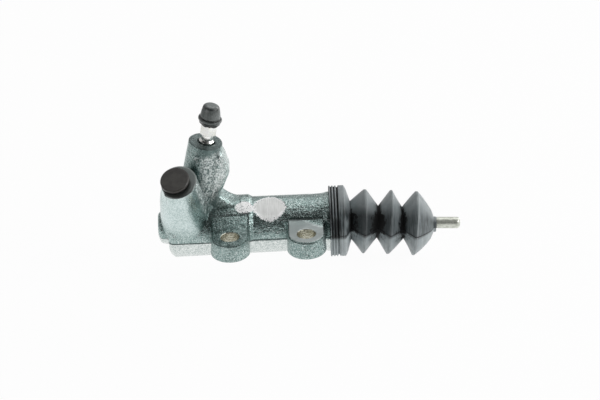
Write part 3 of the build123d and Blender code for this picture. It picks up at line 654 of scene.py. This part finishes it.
def boot_look():
    """The boot's rubber: grey bloom, dark streaks round it and black stains in the folds."""
    look = Look("boot_rubber")
    look.place = look.add("ShaderNodeAttribute", attribute_name="rest").outputs["Vector"]
    depth = look.stored("depth")
    seam = look.stored("seam")
    rise = look.stored("rise")
    toward = look.stored("toward")
    x, _, _ = look.xyz()
    clouds = look.noise(5 * MM, 4.0, 0.6)
    grain = look.noise(0.4 * MM, 3.0, 0.65)
    torn = look.noise(3.4 * MM, 5.0, 0.68, look.stretched((1.5, 1.0, 0.8)))
    streaks = look.noise(0.8 * MM, 3.0, 0.6, look.stretched((1.0, 0.07, 0.07)))
    patchy = look.spread(clouds, 0.3, 0.7)
    on_collar = look.fade(x, SHOULDER_X, NECK_X)
    first_fold = look.between(x, NECK_X, VALLEY_1_X, 1.5 * MM)
    below = look.fade(rise, -0.08, 0.03)
    off_centre = look.less(torn, 0.5)

    # Stains on the side that faces the lugs, from the seam up over the shoulder
    stained = look.times(
        look.spread(rise, -0.22, 0.0),
        look.fade(rise, 0.6, 0.95),
        look.spread(toward, 0.1, 0.4),
    )
    reach = look.math("ADD", depth, look.times(off_centre, 1.3))
    soiled = look.spread(x, VALLEY_1_X + 2 * MM, VALLEY_2_X - 3 * MM, 0.5, 0.26)
    edge = look.lerp(stained, 0.08, soiled)
    stains = look.fade(look.less(reach, edge), -0.05, 0.07)

    # Cracks along the seam, and painted shade in the bottoms of the folds
    cracked = look.times(
        look.between(rise, -0.3, 0.12, 0.08),
        look.spread(toward, 0.1, 0.4),
        look.fade(depth, 0.55, 0.8),
    )
    cracks = look.fade(look.math("ABSOLUTE", off_centre), 0.006, 0.016)
    black = look.most(stains, look.times(cracks, cracked))
    black = look.times(black, look.without(on_collar))
    valley_shade = look.times(
        look.fade(depth, 0.05, 0.3),
        look.spread(x, VALLEY_2_X - 4 * MM, VALLEY_2_X, 1.0, 0.4),
    )
    black = look.most(black, look.times(valley_shade, look.without(on_collar)))
    black = look.times(black, look.fade(x, TAIL_X, TAIL_X + 2 * MM))

    # Grey bloom, streaked round the boot, with painted light towards the rod and on the right flanks, and painted
    # shade on the first fold
    to_end = look.spread(x, PEAK_1_X, TAIL_X, 0.4, 1.0)
    light = look.mix(patchy, (0.19, 0.225, 0.235), (0.31, 0.35, 0.36))
    worn_dark = look.mix(on_collar, (0.04, 0.05, 0.054), (0.012, 0.016, 0.017))
    left = look.stored("left")
    # Painted light: darker on the left flanks and the first fold, lighter towards the rod
    lit = look.times(
        look.lerp(left, 1.0, 0.6),
        look.lerp(on_collar, to_end, 1.0),
        look.lerp(first_fold, 1.0, 0.4),
    )
    light = look.mix(lit, worn_dark, light)
    worn = look.mix(look.spread(streaks, 0.42, 0.6), worn_dark, light)
    bloom = look.times(look.spread(depth, 0.15, 0.8, 0.35, 1.0), to_end)
    tone = look.mix(bloom, (0.035, 0.043, 0.047), light)
    most_streaks = look.lerp(on_collar, look.lerp(first_fold, 0.6, 0.8), 0.85)
    streaked = look.lerp(look.spread(rise, -0.15, 0.05), 0.25, most_streaks)
    tone = look.mix(streaked, tone, worn)
    right_flank = look.times(first_fold, look.without(left), 0.55)
    tone = look.mix(right_flank, tone, (0.02, 0.026, 0.028))

    # Painted light on the top, and painted light from the floor below the seam
    lit_top = look.times(look.spread(rise, 0.6, 1.0), 0.8)
    lit_top_tone = look.mix(patchy, (0.30, 0.345, 0.355), (0.42, 0.46, 0.47))
    tone = look.mix(lit_top, tone, lit_top_tone)
    floor_lit_pale = look.mix(patchy, (0.44, 0.50, 0.52), (0.60, 0.66, 0.67))
    floor_lit_pale = look.mix(look.times(on_collar, 0.7), floor_lit_pale, (0.84, 0.92, 0.94))
    tone = look.mix(look.times(below, look.spread(streaks, 0.3, 0.6, 0.75, 1.0)), tone, floor_lit_pale)
    tone = look.mix(look.spread(grain, 0.5, 0.8, 0.0, 0.3), tone, (0.30, 0.34, 0.35))
    tone = look.mix(black, tone, (0.002, 0.003, 0.003))

    # Painted shade in the collar's grooves, painted highlights on the crest lines, and a painted shadow along the
    # seam
    shaded_grooves = look.times(look.stored("groove_shade"), look.lerp(below, 1.0, 0.35))
    tone = look.mix(shaded_grooves, tone, (0.006, 0.007, 0.008))
    # A painted highlight on each fold's crest line
    tone = look.mix(look.stored("crest"), tone, (0.40, 0.44, 0.45))
    # A painted shadow along the raised mould seam, broken and fainter on the collar
    faint = look.lerp(on_collar, 0.75, 0.2)
    broken = look.spread(look.noise(0.9 * MM, 2.0, 0.6), 0.4, 0.5, faint, 1.0)
    look.set("Base Color", look.mix(look.times(seam, broken), tone, (0.004, 0.005, 0.006)))
    roughness = look.spread(clouds, 0.3, 0.7, 0.36, 0.48)
    look.set("Roughness", look.lerp(look.most(black, shaded_grooves), roughness, 0.8))
    look.set("Specular IOR Level", 0.6)
    look.set("Normal", look.bump(grain, 0.04 * MM, look.bump(streaks, 0.08 * MM)))
    return look.material


def plastic_look():
    """Moulded dark plastic, a little scuffed."""
    look = Look("plug_plastic")
    clouds = look.noise(4 * MM, 3.0, 0.6)
    grain = look.noise(0.35 * MM, 3.0, 0.7)
    patches = look.spread(clouds, 0.3, 0.7)
    look.set("Base Color", look.mix(patches, (0.05, 0.047, 0.043), (0.085, 0.081, 0.073)))
    look.set("Roughness", look.spread(grain, 0.3, 0.7, 0.3, 0.42))
    look.set("Specular IOR Level", 0.7)
    look.set("Normal", look.bump(grain, 0.04 * MM, look.soft_corners(0.55 * MM)))
    return look.material


def turned_metal_look(name, base, rough):
    """Turned metal, with fine rings round the bore axis."""
    look = Look(name)
    rings = look.noise(0.25 * MM, 2.0, 0.5, look.stretched((1.0, 0.02, 0.02)))
    look.set("Base Color", look.mix(look.spread(rings, 0.3, 0.7, 0.0, 0.4), base, (0.5, 0.5, 0.5)))
    look.set("Metallic", 1.0)
    look.set("Roughness", look.spread(rings, 0.3, 0.7, rough, rough + 0.15))
    look.set("Normal", look.bump(rings, 0.02 * MM))
    return look.material


# Mesh tools

WELD = 1e-7


def rounded(points, radius, steps=4):
    """The line through the points with each inner corner rounded."""
    made = [points[0]]
    for before, corner, after in zip(points, points[1:], points[2:]):
        b, c, a = Vector(before), Vector(corner), Vector(after)
        reach_in = min(radius, (b - c).length * 0.45)
        reach_out = min(radius, (a - c).length * 0.45)
        start = c + (b - c).normalized() * reach_in
        end = c + (a - c).normalized() * reach_out
        for step in range(steps + 1):
            t = step / steps
            made.append(tuple(start * (1 - t) ** 2 + c * 2 * t * (1 - t) + end * t * t))
    made.append(points[-1])
    return made


def divided(points, longest):
    """The line through the points with no run longer than that."""
    made = [points[0]]
    for a, b in zip(points, points[1:]):
        count = max(1, math.ceil((Vector(b) - Vector(a)).length / longest))
        made += [tuple(Vector(a).lerp(Vector(b), step / count)) for step in range(1, count + 1)]
    return made


def added(name, data):
    """A new object in the scene."""
    piece = bpy.data.objects.new(name, data)
    bpy.context.scene.collection.objects.link(piece)
    return piece


def swept(name, profile, place, angles, material, stored):
    """A closed mesh of the profile carried round by place(point, angle)."""
    mesh = bpy.data.meshes.new(name)
    count = len(profile)
    points = [place(point, angle) for angle in angles for point in profile]
    faces = []
    turns = len(angles)
    for j in range(turns):
        k = (j + 1) % turns
        for i in range(count):
            n = (i + 1) % count
            faces.append((j * count + i, j * count + n, k * count + n, k * count + i))
    mesh.from_pydata(points, [], faces)
    for key, values in stored.items():
        layer = mesh.attributes.new(key, "FLOAT", "POINT")
        layer.data.foreach_set("value", values)
    rest = mesh.attributes.new("rest", "FLOAT_VECTOR", "POINT")
    rest.data.foreach_set("vector", [value for point in points for value in point])
    shape = bmesh.new()
    shape.from_mesh(mesh)
    bmesh.ops.remove_doubles(shape, verts=shape.verts, dist=WELD)
    bmesh.ops.recalc_face_normals(shape, faces=shape.faces)
    shape.to_mesh(mesh)
    shape.free()
    mesh.shade_smooth()
    mesh.materials.append(material)
    return added(name, mesh)


# Casting

CURVE_STEPS = 400
CURVE_SOFT = 16  # steps on each side


def curve(rows, scale):
    """A smooth line through the rows, in metres along it."""
    at, value = np.array(rows, float).T
    dense = np.linspace(at[0], at[-1], CURVE_STEPS)
    soft = np.hanning(2 * CURVE_SOFT + 1)
    padded = np.pad(np.interp(dense, at, value), CURVE_SOFT, "edge")
    line = np.convolve(padded, soft / soft.sum(), "valid")
    return lambda given: np.interp(given, dense * MM, line * scale)


def eased(value, low, high):
    """0 up to low, 1 from high, and smooth between them."""
    share = np.clip((value - low) / (high - low), 0.0, 1.0)
    return share * share * (3 - 2 * share)


def skin(points):
    """Where each point of the casting goes: the outside shifts, the bores stay."""
    moved = points.copy()

    # The swelling beside the bleeder boss
    axis = np.array(BLEED_AXIS)
    across = np.array(BLEED_ACROSS)
    from_foot = points - np.array(BLEED_FOOT)
    out = from_foot @ across
    shift = curve(SWELL_MOVES, MM)(from_foot @ axis) * eased(out, 5.5 * MM, 10 * MM)
    shift *= 1 - eased(out, 18 * MM, 28 * MM)
    moved += shift[:, None] * across

    # The left side of the inlet boss
    axis = np.array(INLET_AXIS)
    left = Vector((-1, 0, 0))
    left = np.array((left - left.dot(INLET_AXIS) * INLET_AXIS).normalized())
    height = (points - np.array(INLET_FACE)) @ axis + INLET_L * MM
    out = (points - np.array(INLET_FACE)) @ left
    shift = curve(BOSS_MOVES, MM)(height) * eased(out, 5.5 * MM, 8.0 * MM)
    moved -= shift[:, None] * left

    # The barrel's underside, its flare and the lower half of its closed end
    from_bore = points - np.array(PIVOT)
    from_bore[:, 0] = 0.0
    radius = np.maximum(np.linalg.norm(from_bore, axis=1), 1e-9)
    outwards = from_bore / radius[:, None]
    shift = curve(BELLY_MOVES, MM)(points[:, 0]) * eased(radius, 11 * MM, 13 * MM)
    shift *= eased(-points[:, 2], 0.5 * MM, 7 * MM) * eased(points[:, 0], -52 * MM, -47 * MM)
    shift += curve(FLARE_MOVES, MM)(points[:, 0]) * eased(radius, 13 * MM, 14.5 * MM)
    shift *= 1 - eased(radius, 16.5 * MM, 19 * MM)
    moved += shift[:, None] * outwards
    kept = curve(END_ROUND, 1.0)(points[:, 0] - CLOSED_END_X)
    kept = np.where(radius < 10 * MM, kept, 1.0)
    kept = 1 - (1 - kept) * eased(PIVOT.z - points[:, 2], -3 * MM, 3 * MM)
    moved -= ((1 - kept) * radius)[:, None] * outwards
    return moved


def copied_mesh(node_name, name, material):
    """A copy of a CAD node's mesh, in the frame's own space."""
    node = frame["nodes"][node_name]
    mesh = node.data.copy()
    mesh.name = name
    mesh.transform(node.matrix_world)
    mesh.materials.clear()
    mesh.materials.append(material)
    return mesh


def rows_of(items, key):
    """The three numbers that each item has under key."""
    values = np.empty(len(items) * 3)
    items.foreach_get(key, values)
    return values.reshape(-1, 3)


def build_casting(material):
    """The casting with its skin drawn to the photograph's outline."""
    mesh = copied_mesh("cylinder_body", "casting", material)
    points = rows_of(mesh.vertices, "co")
    normals = rows_of(mesh.corner_normals, "vector")
    corners = np.empty(len(mesh.loops), dtype=int)
    mesh.loops.foreach_get("vertex_index", corners)

    step = 0.01 * MM
    slopes = [skin(points + step * side) - skin(points - step * side) for side in np.eye(3)]
    slopes = np.stack(slopes, 2) / (2 * step)
    turned = np.einsum("nji,nj->ni", np.linalg.inv(slopes)[corners], normals)
    turned /= np.linalg.norm(turned, axis=1)[:, None]
    mesh.vertices.foreach_set("co", skin(points).ravel())
    mesh.normals_split_custom_set(turned.tolist())
    piece = added("casting", mesh)
    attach(piece, "cylinder")
    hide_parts("cylinder_body")


def build_spring(material):
    """The return spring, copied onto the cylinder with a mesh of its own."""
    piece = added("spring_coil", copied_mesh("return_spring", "spring_coil", material))
    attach(piece, "cylinder")
    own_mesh(piece)
    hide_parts("return_spring")


# Boot

VALLEY_1_X = PEAK_1_X + 0.5 * PITCH + VALLEY_SHIFT
VALLEY_2_X = PEAK_1_X + 1.5 * PITCH + VALLEY_SHIFT
TAIL_X = PEAK_1_X + 2 * PITCH + PEAK_FLAT / 2


def rod_sag(x):
    """How far the rod's axis is below the bore's."""
    return (x - PIVOT.x) * math.tan(ROD_DROOP)


# How the boot's rings sink and tilt along the rod: place, sag, tilt in degrees
BOOT_LINE = (
    (BOOT_X, 0.0, 0.0),
    (NECK_X, 0.0, 0.0),
    (PEAK_1_X, PEAK_SAGS[0], PEAK_TILTS[0]),
    (VALLEY_1_X, (PEAK_SAGS[0] + PEAK_SAGS[1]) / 2, (PEAK_TILTS[0] + PEAK_TILTS[1]) / 2),
    (PEAK_1_X + PITCH, PEAK_SAGS[1], PEAK_TILTS[1]),
    (VALLEY_2_X, (PEAK_SAGS[1] + PEAK_SAGS[2]) / 2, 0.0),
    (PEAK_1_X + 2 * PITCH, PEAK_SAGS[2], PEAK_TILTS[2]),
    (BOOT_END_X, rod_sag(BOOT_END_X) + LIP_HANG, math.degrees(ROD_DROOP)),
    (BOOT_END_X + LIP_L, rod_sag(BOOT_END_X + LIP_L) + LIP_HANG, math.degrees(ROD_DROOP)),
)


def boot_ring(x):
    """Sag and tilt in radians of the boot's ring at x."""
    for (x0, sag0, tilt0), (x1, sag1, tilt1) in zip(BOOT_LINE, BOOT_LINE[1:]):
        if x <= x1:
            share = min(1.0, max(0.0, (x - x0) / (x1 - x0)))
            return sag0 + share * (sag1 - sag0), math.radians(tilt0 + share * (tilt1 - tilt0))
    return BOOT_LINE[-1][1], math.radians(BOOT_LINE[-1][2])


SEAMS = (SEAM_ANGLE, SEAM_ANGLE + math.pi)


def from_seam(angle):
    """The angle to the nearer of the mould's two seams."""
    return min(abs((angle - seam + math.pi) % (2 * math.pi) - math.pi) for seam in SEAMS)


def seam_share(angle):
    """1 on the mould's seam and 0 away from it."""
    return 1.0 if from_seam(angle) < SEAM_HALF else 0.0


def boot_angles():
    """Even steps round the boot, and four close ones at each seam."""
    angles = [2 * math.pi * n / BOOT_SEGMENTS for n in range(BOOT_SEGMENTS)]
    made = [angle for angle in angles if from_seam(angle) > 2.2 * SEAM_HALF]
    for seam in SEAMS:
        made += [seam + step * SEAM_HALF for step in (-1.6, -0.8, 0.8, 1.6)]
    return sorted(angle % (2 * math.pi) for angle in made)


def groove_shade_share(x, radius):
    """Share of painted shade: 1 at the bottom of the collar's grooves and on its edge at the barrel."""
    if x > BAND_X:
        return 0.0
    if x < BOOT_X + 0.3 * MM:
        return 1.0
    return min(1.0, max(0.0, (COLLAR_R - radius) / RIB_STEP))


def left_share(x):
    """1 on the flanks that face the barrel, which are painted in shade, 0 on the others."""
    for n in range(len(PEAK_SAGS)):
        crest = PEAK_1_X + n * PITCH
        if crest - PITCH / 2 < x < crest + 0.5 * MM:
            return min(1.0, max(0.0, (crest + 0.3 * MM - x) / (0.6 * MM)))
    return 0.0


def crest_highlight_share(x, radius):
    """1 on the painted highlight at the outer edge of each fold's crest."""
    for n in range(len(PEAK_SAGS)):
        line = PEAK_1_X + n * PITCH + PEAK_FLAT / 2
        if abs(x - line) < CREST_LINE and radius > PEAK_R - 0.5 * MM:
            return CREST_SHARES[n]
    return 0.0


def boot_piece(name, outer, inner, material):
    """A closed length of boot between an outer and an inner line."""
    angles = boot_angles()
    profile = [(x, r, True) for x, r in outer] + [(x, r, False) for x, r in reversed(inner)]

    def place(point, angle):
        x, radius, outside = point
        sag, tilt = boot_ring(x)
        if outside and x < BOOT_END_X:
            radius += min(SEAM_PROUD, COLLAR_R - radius) * seam_share(angle)
        up = Vector((math.sin(tilt), 0, math.cos(tilt)))
        toward = Vector((0, -1, 0))
        centre = Vector((x, PIVOT.y, PIVOT.z - sag))
        return centre + radius * (math.cos(angle) * toward + math.sin(angle) * up)

    rows = []
    for angle in angles:
        for x, radius, outside in profile:
            depth = max(0.0, (radius - VALLEY_R) / (PEAK_R - VALLEY_R)) * outside
            seam = seam_share(angle) * outside
            groove_shade = groove_shade_share(x, radius) * outside
            crest = crest_highlight_share(x, radius) * outside
            left = left_share(x) * outside
            rows.append((depth, seam, math.sin(angle), math.cos(angle), groove_shade, crest, left))
    keys = ("depth", "seam", "rise", "toward", "groove_shade", "crest", "left")
    return swept(name, profile, place, angles, material, dict(zip(keys, zip(*rows))))


def build_boot(material):
    """The boot in three pieces: its collar, its folds and its end on the rod."""
    ribs = []
    rib_x = BOOT_X
    for _ in range(COLLAR_RIBS):
        ribs += [
            (rib_x, COLLAR_R - RIB_STEP),
            (rib_x + 0.15 * MM, COLLAR_R),
            (rib_x + RIB_W - 0.15 * MM, COLLAR_R),
            (rib_x + RIB_W, COLLAR_R - RIB_STEP),
        ]
        rib_x += RIB_W + RIB_GAP
    collar_outer = ribs + [
        (BAND_X - 0.7 * MM, COLLAR_R - BAND_GROOVE),
        (BAND_X - 0.3 * MM, COLLAR_R - BAND_GROOVE),
        (BAND_X, COLLAR_R),
        (BAND_X + BAND_W, COLLAR_R),
        (SHOULDER_X, SHOULDER_R),
        (NECK_X, NECK_R),
    ]
    inside = FLANGE_R + RUBBER_FIT
    collar_inner = [
        (BOOT_X, inside),
        (GROOVE_X + RUBBER_FIT, inside),
        (GROOVE_X + RUBBER_FIT, GROOVE_R + RUBBER_FIT),
        (GROOVE_X + GROOVE_W - RUBBER_FIT, GROOVE_R + RUBBER_FIT),
        (GROOVE_X + GROOVE_W - RUBBER_FIT, inside),
        (MOUTH_X + RUBBER_FIT, inside),
        (MOUTH_X + RUBBER_FIT, NECK_R - BOOT_WALL + 2.5 * MM),
        (NECK_X, NECK_R - BOOT_WALL),
    ]
    outer = divided(rounded(collar_outer, 0.2 * MM, 2), 1.2 * MM)
    collar = boot_piece("boot_collar", outer, collar_inner, material)
    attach(collar, "cylinder")

    def folds(start, peaks, end):
        points = [start]
        for peak in peaks:
            points += [(peak - PEAK_FLAT / 2, PEAK_R), (peak + PEAK_FLAT / 2, PEAK_R)]
            points.append((peak + PITCH / 2 + VALLEY_SHIFT, VALLEY_R))
        points[-1] = end
        return points

    def walled(line):
        return [(x, r - BOOT_WALL) for x, r in line]

    line = folds((NECK_X, NECK_R), (PEAK_1_X, PEAK_1_X + PITCH), (VALLEY_2_X, VALLEY_R))
    outer = divided(rounded(line, 0.45 * MM), 0.8 * MM)
    middle = boot_piece("boot_folds", outer, divided(walled(line), 2 * MM), material)
    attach(middle, "cylinder")
    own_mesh(middle)

    last_peak = PEAK_1_X + 2 * PITCH
    tail = [(VALLEY_2_X, VALLEY_R), (last_peak - PEAK_FLAT / 2, PEAK_R), (TAIL_X, PEAK_R)]
    for share, drop in ((0.3, 0.22), (0.62, 0.5), (0.86, 0.75), (1.0, 1.0)):
        tail.append((TAIL_X + share * (BOOT_END_X - TAIL_X), PEAK_R + drop * (BOOT_END_R - PEAK_R)))
    outer = tail + [
        (BOOT_END_X, LIP_R),
        (BOOT_END_X + LIP_L, LIP_R),
        (BOOT_END_X + LIP_L, LIP_HOLE_R),
    ]
    inner = walled(tail[:-1]) + [(tail[-2][0], LIP_HOLE_R)]
    outer = divided(rounded(outer, 0.35 * MM), 0.8 * MM)
    end = boot_piece("boot_end", outer, divided(inner, 2 * MM), material)
    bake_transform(end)
    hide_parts("boot")


# Bleeder cap


def build_cap(material):
    """A domed cap with a ring round it and a scalloped skirt over the hexagon."""
    outer = rounded(
        [
            (CAP_RECESS_R, CAP_LOW),
            (CAP_SKIRT_R + 0.25 * MM, CAP_LOW),
            (CAP_SKIRT_R + 0.4 * MM, CAP_RING_LOW - 0.35 * MM),
            (CAP_RING_R - 0.25 * MM, CAP_RING_LOW),
            (CAP_RING_R, CAP_RING_LOW + 0.5 * MM),
            (CAP_RING_R, CAP_RING_HIGH - 0.45 * MM),
            (CAP_RING_R - 0.35 * MM, CAP_RING_HIGH),
            (CAP_BODY_R - 0.25 * MM, CAP_RING_HIGH + 0.05 * MM),
            (CAP_BODY_R, CAP_RING_HIGH + 0.75 * MM),
            (CAP_TOP_R + 1.1 * MM, CAP_TOP - 3.4 * MM),
            (CAP_TOP_R + 0.45 * MM, CAP_TOP - 1.0 * MM),
            (CAP_TOP_R - 1.1 * MM, CAP_TOP - 0.05 * MM),
            (0.3 * MM, CAP_TOP),
        ],
        0.55 * MM,
    )
    inner = [
        (0.3 * MM, CAP_HOLE_TOP),
        (CAP_HOLE_R, CAP_HOLE_TOP),
        (CAP_HOLE_R, CAP_RECESS_TOP),
        (CAP_RECESS_R, CAP_RECESS_TOP),
    ]
    profile = divided(outer, 0.7 * MM) + [(0.0, CAP_TOP), (0.0, CAP_HOLE_TOP)] + inner
    toward = Vector((0, -1, 0))

    def place(point, angle):
        radius, height = point
        low = min(1.0, max(0.0, (CAP_RING_LOW - height) / (CAP_RING_LOW - CAP_LOW)))
        if radius > CAP_RECESS_R - 0.01 * MM:
            height -= CAP_SCALLOP * low * abs(math.cos(3 * angle)) ** 3
        out = radius * (math.cos(angle) * BLEED_ACROSS + math.sin(angle) * toward)
        point = height * BLEED_AXIS + out
        lean = CAP_LEAN * max(0.0, height - CAP_LOW)
        return BLEED_FOOT + point - lean * BLEED_ACROSS

    angles = [2 * math.pi * n / CAP_SEGMENTS for n in range(CAP_SEGMENTS)]
    dark = []
    for _ in angles:
        for radius, height in profile:
            # Painted shade under the ring and in the notch above it
            under = height < CAP_RING_LOW + 0.1 * MM
            notch = CAP_RING_HIGH - 0.2 * MM < height < CAP_RING_HIGH + 0.45 * MM
            notch = notch and radius < CAP_RING_R - 0.2 * MM
            dark.append(1.0 if under else 0.85 if notch else 0.0)
    cap = swept("bleeder_cap_rubber", profile, place, angles, material, {"dark": dark})
    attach(cap, "cap")
    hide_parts("bleeder_cap")


# Put the looks on

casting = casting_look()
zinc = zinc_look()
boot_rubber = boot_look()
cap_rubber = cap_look()
seal_rubber = seal_look()
plastic = plastic_look()
aluminium = turned_metal_look("piston_metal", (0.78, 0.78, 0.77), 0.25)
wire = turned_metal_look("spring_steel", (0.45, 0.45, 0.46), 0.3)

for node, material in (
    ("piston", aluminium),
    ("front_cup_seal", seal_rubber),
    ("rear_cup_seal", seal_rubber),
    ("push_rod", rod_look()),
    ("bleed_screw", zinc),
    ("port_plug", plastic),
):
    slots = frame["nodes"][node].data.materials
    slots.clear()
    slots.append(material)

build_casting(casting)
build_spring(wire)
build_boot(boot_rubber)
build_cap(cap_rubber)


# Floor, light and camera

FLOOR_SIZE = 6.0
FLOOR_GAP = 0.05 * MM  # under the object
FLOOR_WHITE = 0.965  # share of the floor that shows plain white
TABLE_NEAR = 0.16  # the floor's glow in metal fades from here
TABLE_FAR = 0.55  # to here
TABLE_DIM = 0.2
TABLE_X = 60 * MM  # middle of the glow
TABLE_Y = -20 * MM
STUDIO_BACK = 0.4
STUDIO_RIGHT = 0.2
STUDIO_FRONT = 0.03
LAMPS = (  # name, place, size, watts
    ("back_softbox", (0.2, 0.75, 1.4), 1.2, 4.5),
    ("right_softbox", (1.1, -0.25, 0.6), 0.7, 5.0),
    ("rim_softbox", (1.0, 0.9, 0.35), 0.6, 3.0),
    ("left_softbox", (-1.0, -0.7, 0.35), 0.9, 2.0),
)


def build_floor(height):
    """A pale floor that the camera and metal see as white, with the object's shadow on it."""
    mesh = bpy.data.meshes.new("floor")
    half = FLOOR_SIZE / 2
    corners = ((-half, -half), (half, -half), (half, half), (-half, half))
    mesh.from_pydata([(*corner, height) for corner in corners], [], [(0, 1, 2, 3)])
    floor = added("floor", mesh)
    look = Look("floor_white")
    clouds = look.noise(40 * MM, 2.0)
    look.set("Base Color", look.mix(clouds, (0.90, 0.90, 0.90), (0.92, 0.92, 0.92)))
    look.set("Roughness", 0.6)
    look.set("Specular IOR Level", 0.2)
    path = look.add("ShaderNodeLightPath")
    camera_ray = path.outputs["Is Camera Ray"]
    x, y, _ = look.xyz()
    away = look.length(look.less(x, TABLE_X), look.less(y, TABLE_Y))
    table = look.spread(away, TABLE_NEAR, TABLE_FAR, 1.0, TABLE_DIM)
    glow = look.add("ShaderNodeEmission")
    look.feed(glow.inputs["Strength"], look.lerp(camera_ray, table, 1.0))
    seen = look.most(camera_ray, path.outputs["Is Glossy Ray"], path.outputs["Is Transmission Ray"])
    shown = look.add("ShaderNodeMixShader")
    look.feed(shown.inputs[0], look.times(seen, FLOOR_WHITE))
    look.feed(shown.inputs[1], look.shader.outputs[0])
    look.feed(shown.inputs[2], glow.outputs[0])
    look.feed(look.tree.nodes["Material Output"].inputs["Surface"], shown.outputs[0])
    mesh.materials.append(look.material)


class Sky(Look):
    """The world's node tree, with a material's short calls."""

    def __init__(self, name):
        world = bpy.data.worlds.new(name)
        bpy.context.scene.world = world
        world.use_nodes = True
        self.tree = world.node_tree
        self.background = self.tree.nodes["Background"]
        self.place = self.add("ShaderNodeTexCoord").outputs["Generated"]


def build_world():
    """White behind the object. Round it, a studio that is darkest above the camera."""
    sky = Sky("studio")
    x, y, z = sky.xyz()
    behind = sky.spread(y, -0.12, 0.25, 0.0, STUDIO_BACK)
    right = sky.spread(x, 0.0, 0.8, 0.0, STUDIO_RIGHT)
    studio = sky.math("ADD", sky.math("ADD", behind, right), STUDIO_FRONT)
    camera_ray = sky.add("ShaderNodeLightPath").outputs["Is Camera Ray"]
    sky.feed(sky.background.inputs["Strength"], sky.lerp(camera_ray, studio, 1.0))
    sky.background.inputs["Color"].default_value = (1, 1, 1, 1)


def area_light(name, place, size, power):
    """A round soft lamp that points at the object."""
    lamp = bpy.data.lights.new(name, "AREA")
    lamp.shape = "DISK"
    lamp.size = size
    lamp.energy = power
    light = added(name, lamp)
    light.location = place
    light.rotation_mode = "QUATERNION"
    light.rotation_quaternion = (LOOK_AT - Vector(place)).to_track_quat("-Z", "Y")


def build_camera():
    """The camera at the photograph's angle, with its lens set for the scale."""
    camera = bpy.data.cameras.new("camera")
    camera.sensor_width = SENSOR_MM
    width = IMAGE_WIDTH / PIXELS_PER_METRE
    camera.lens = camera.sensor_width * CAMERA_DISTANCE / width
    camera.clip_start = 0.05
    camera.clip_end = 20
    thing = added("camera", camera)
    lean = CAMERA_ELEVATION
    back = Vector((0, -math.cos(lean), math.sin(lean)))
    rise = Vector((0, math.sin(lean), math.cos(lean)))
    side = Vector((1, 0, 0))
    right = math.cos(CAMERA_ROLL) * side - math.sin(CAMERA_ROLL) * rise
    up = math.sin(CAMERA_ROLL) * side + math.cos(CAMERA_ROLL) * rise
    turn = Matrix((right, up, back)).transposed().to_4x4()
    thing.matrix_world = Matrix.Translation(LOOK_AT + back * CAMERA_DISTANCE) @ turn
    bpy.context.scene.camera = thing


build_floor(cad_box[0].z - FLOOR_GAP)
build_world()
for row in LAMPS:
    area_light(*row)
build_camera()
bpy.context.scene.view_settings.view_transform = "Standard"
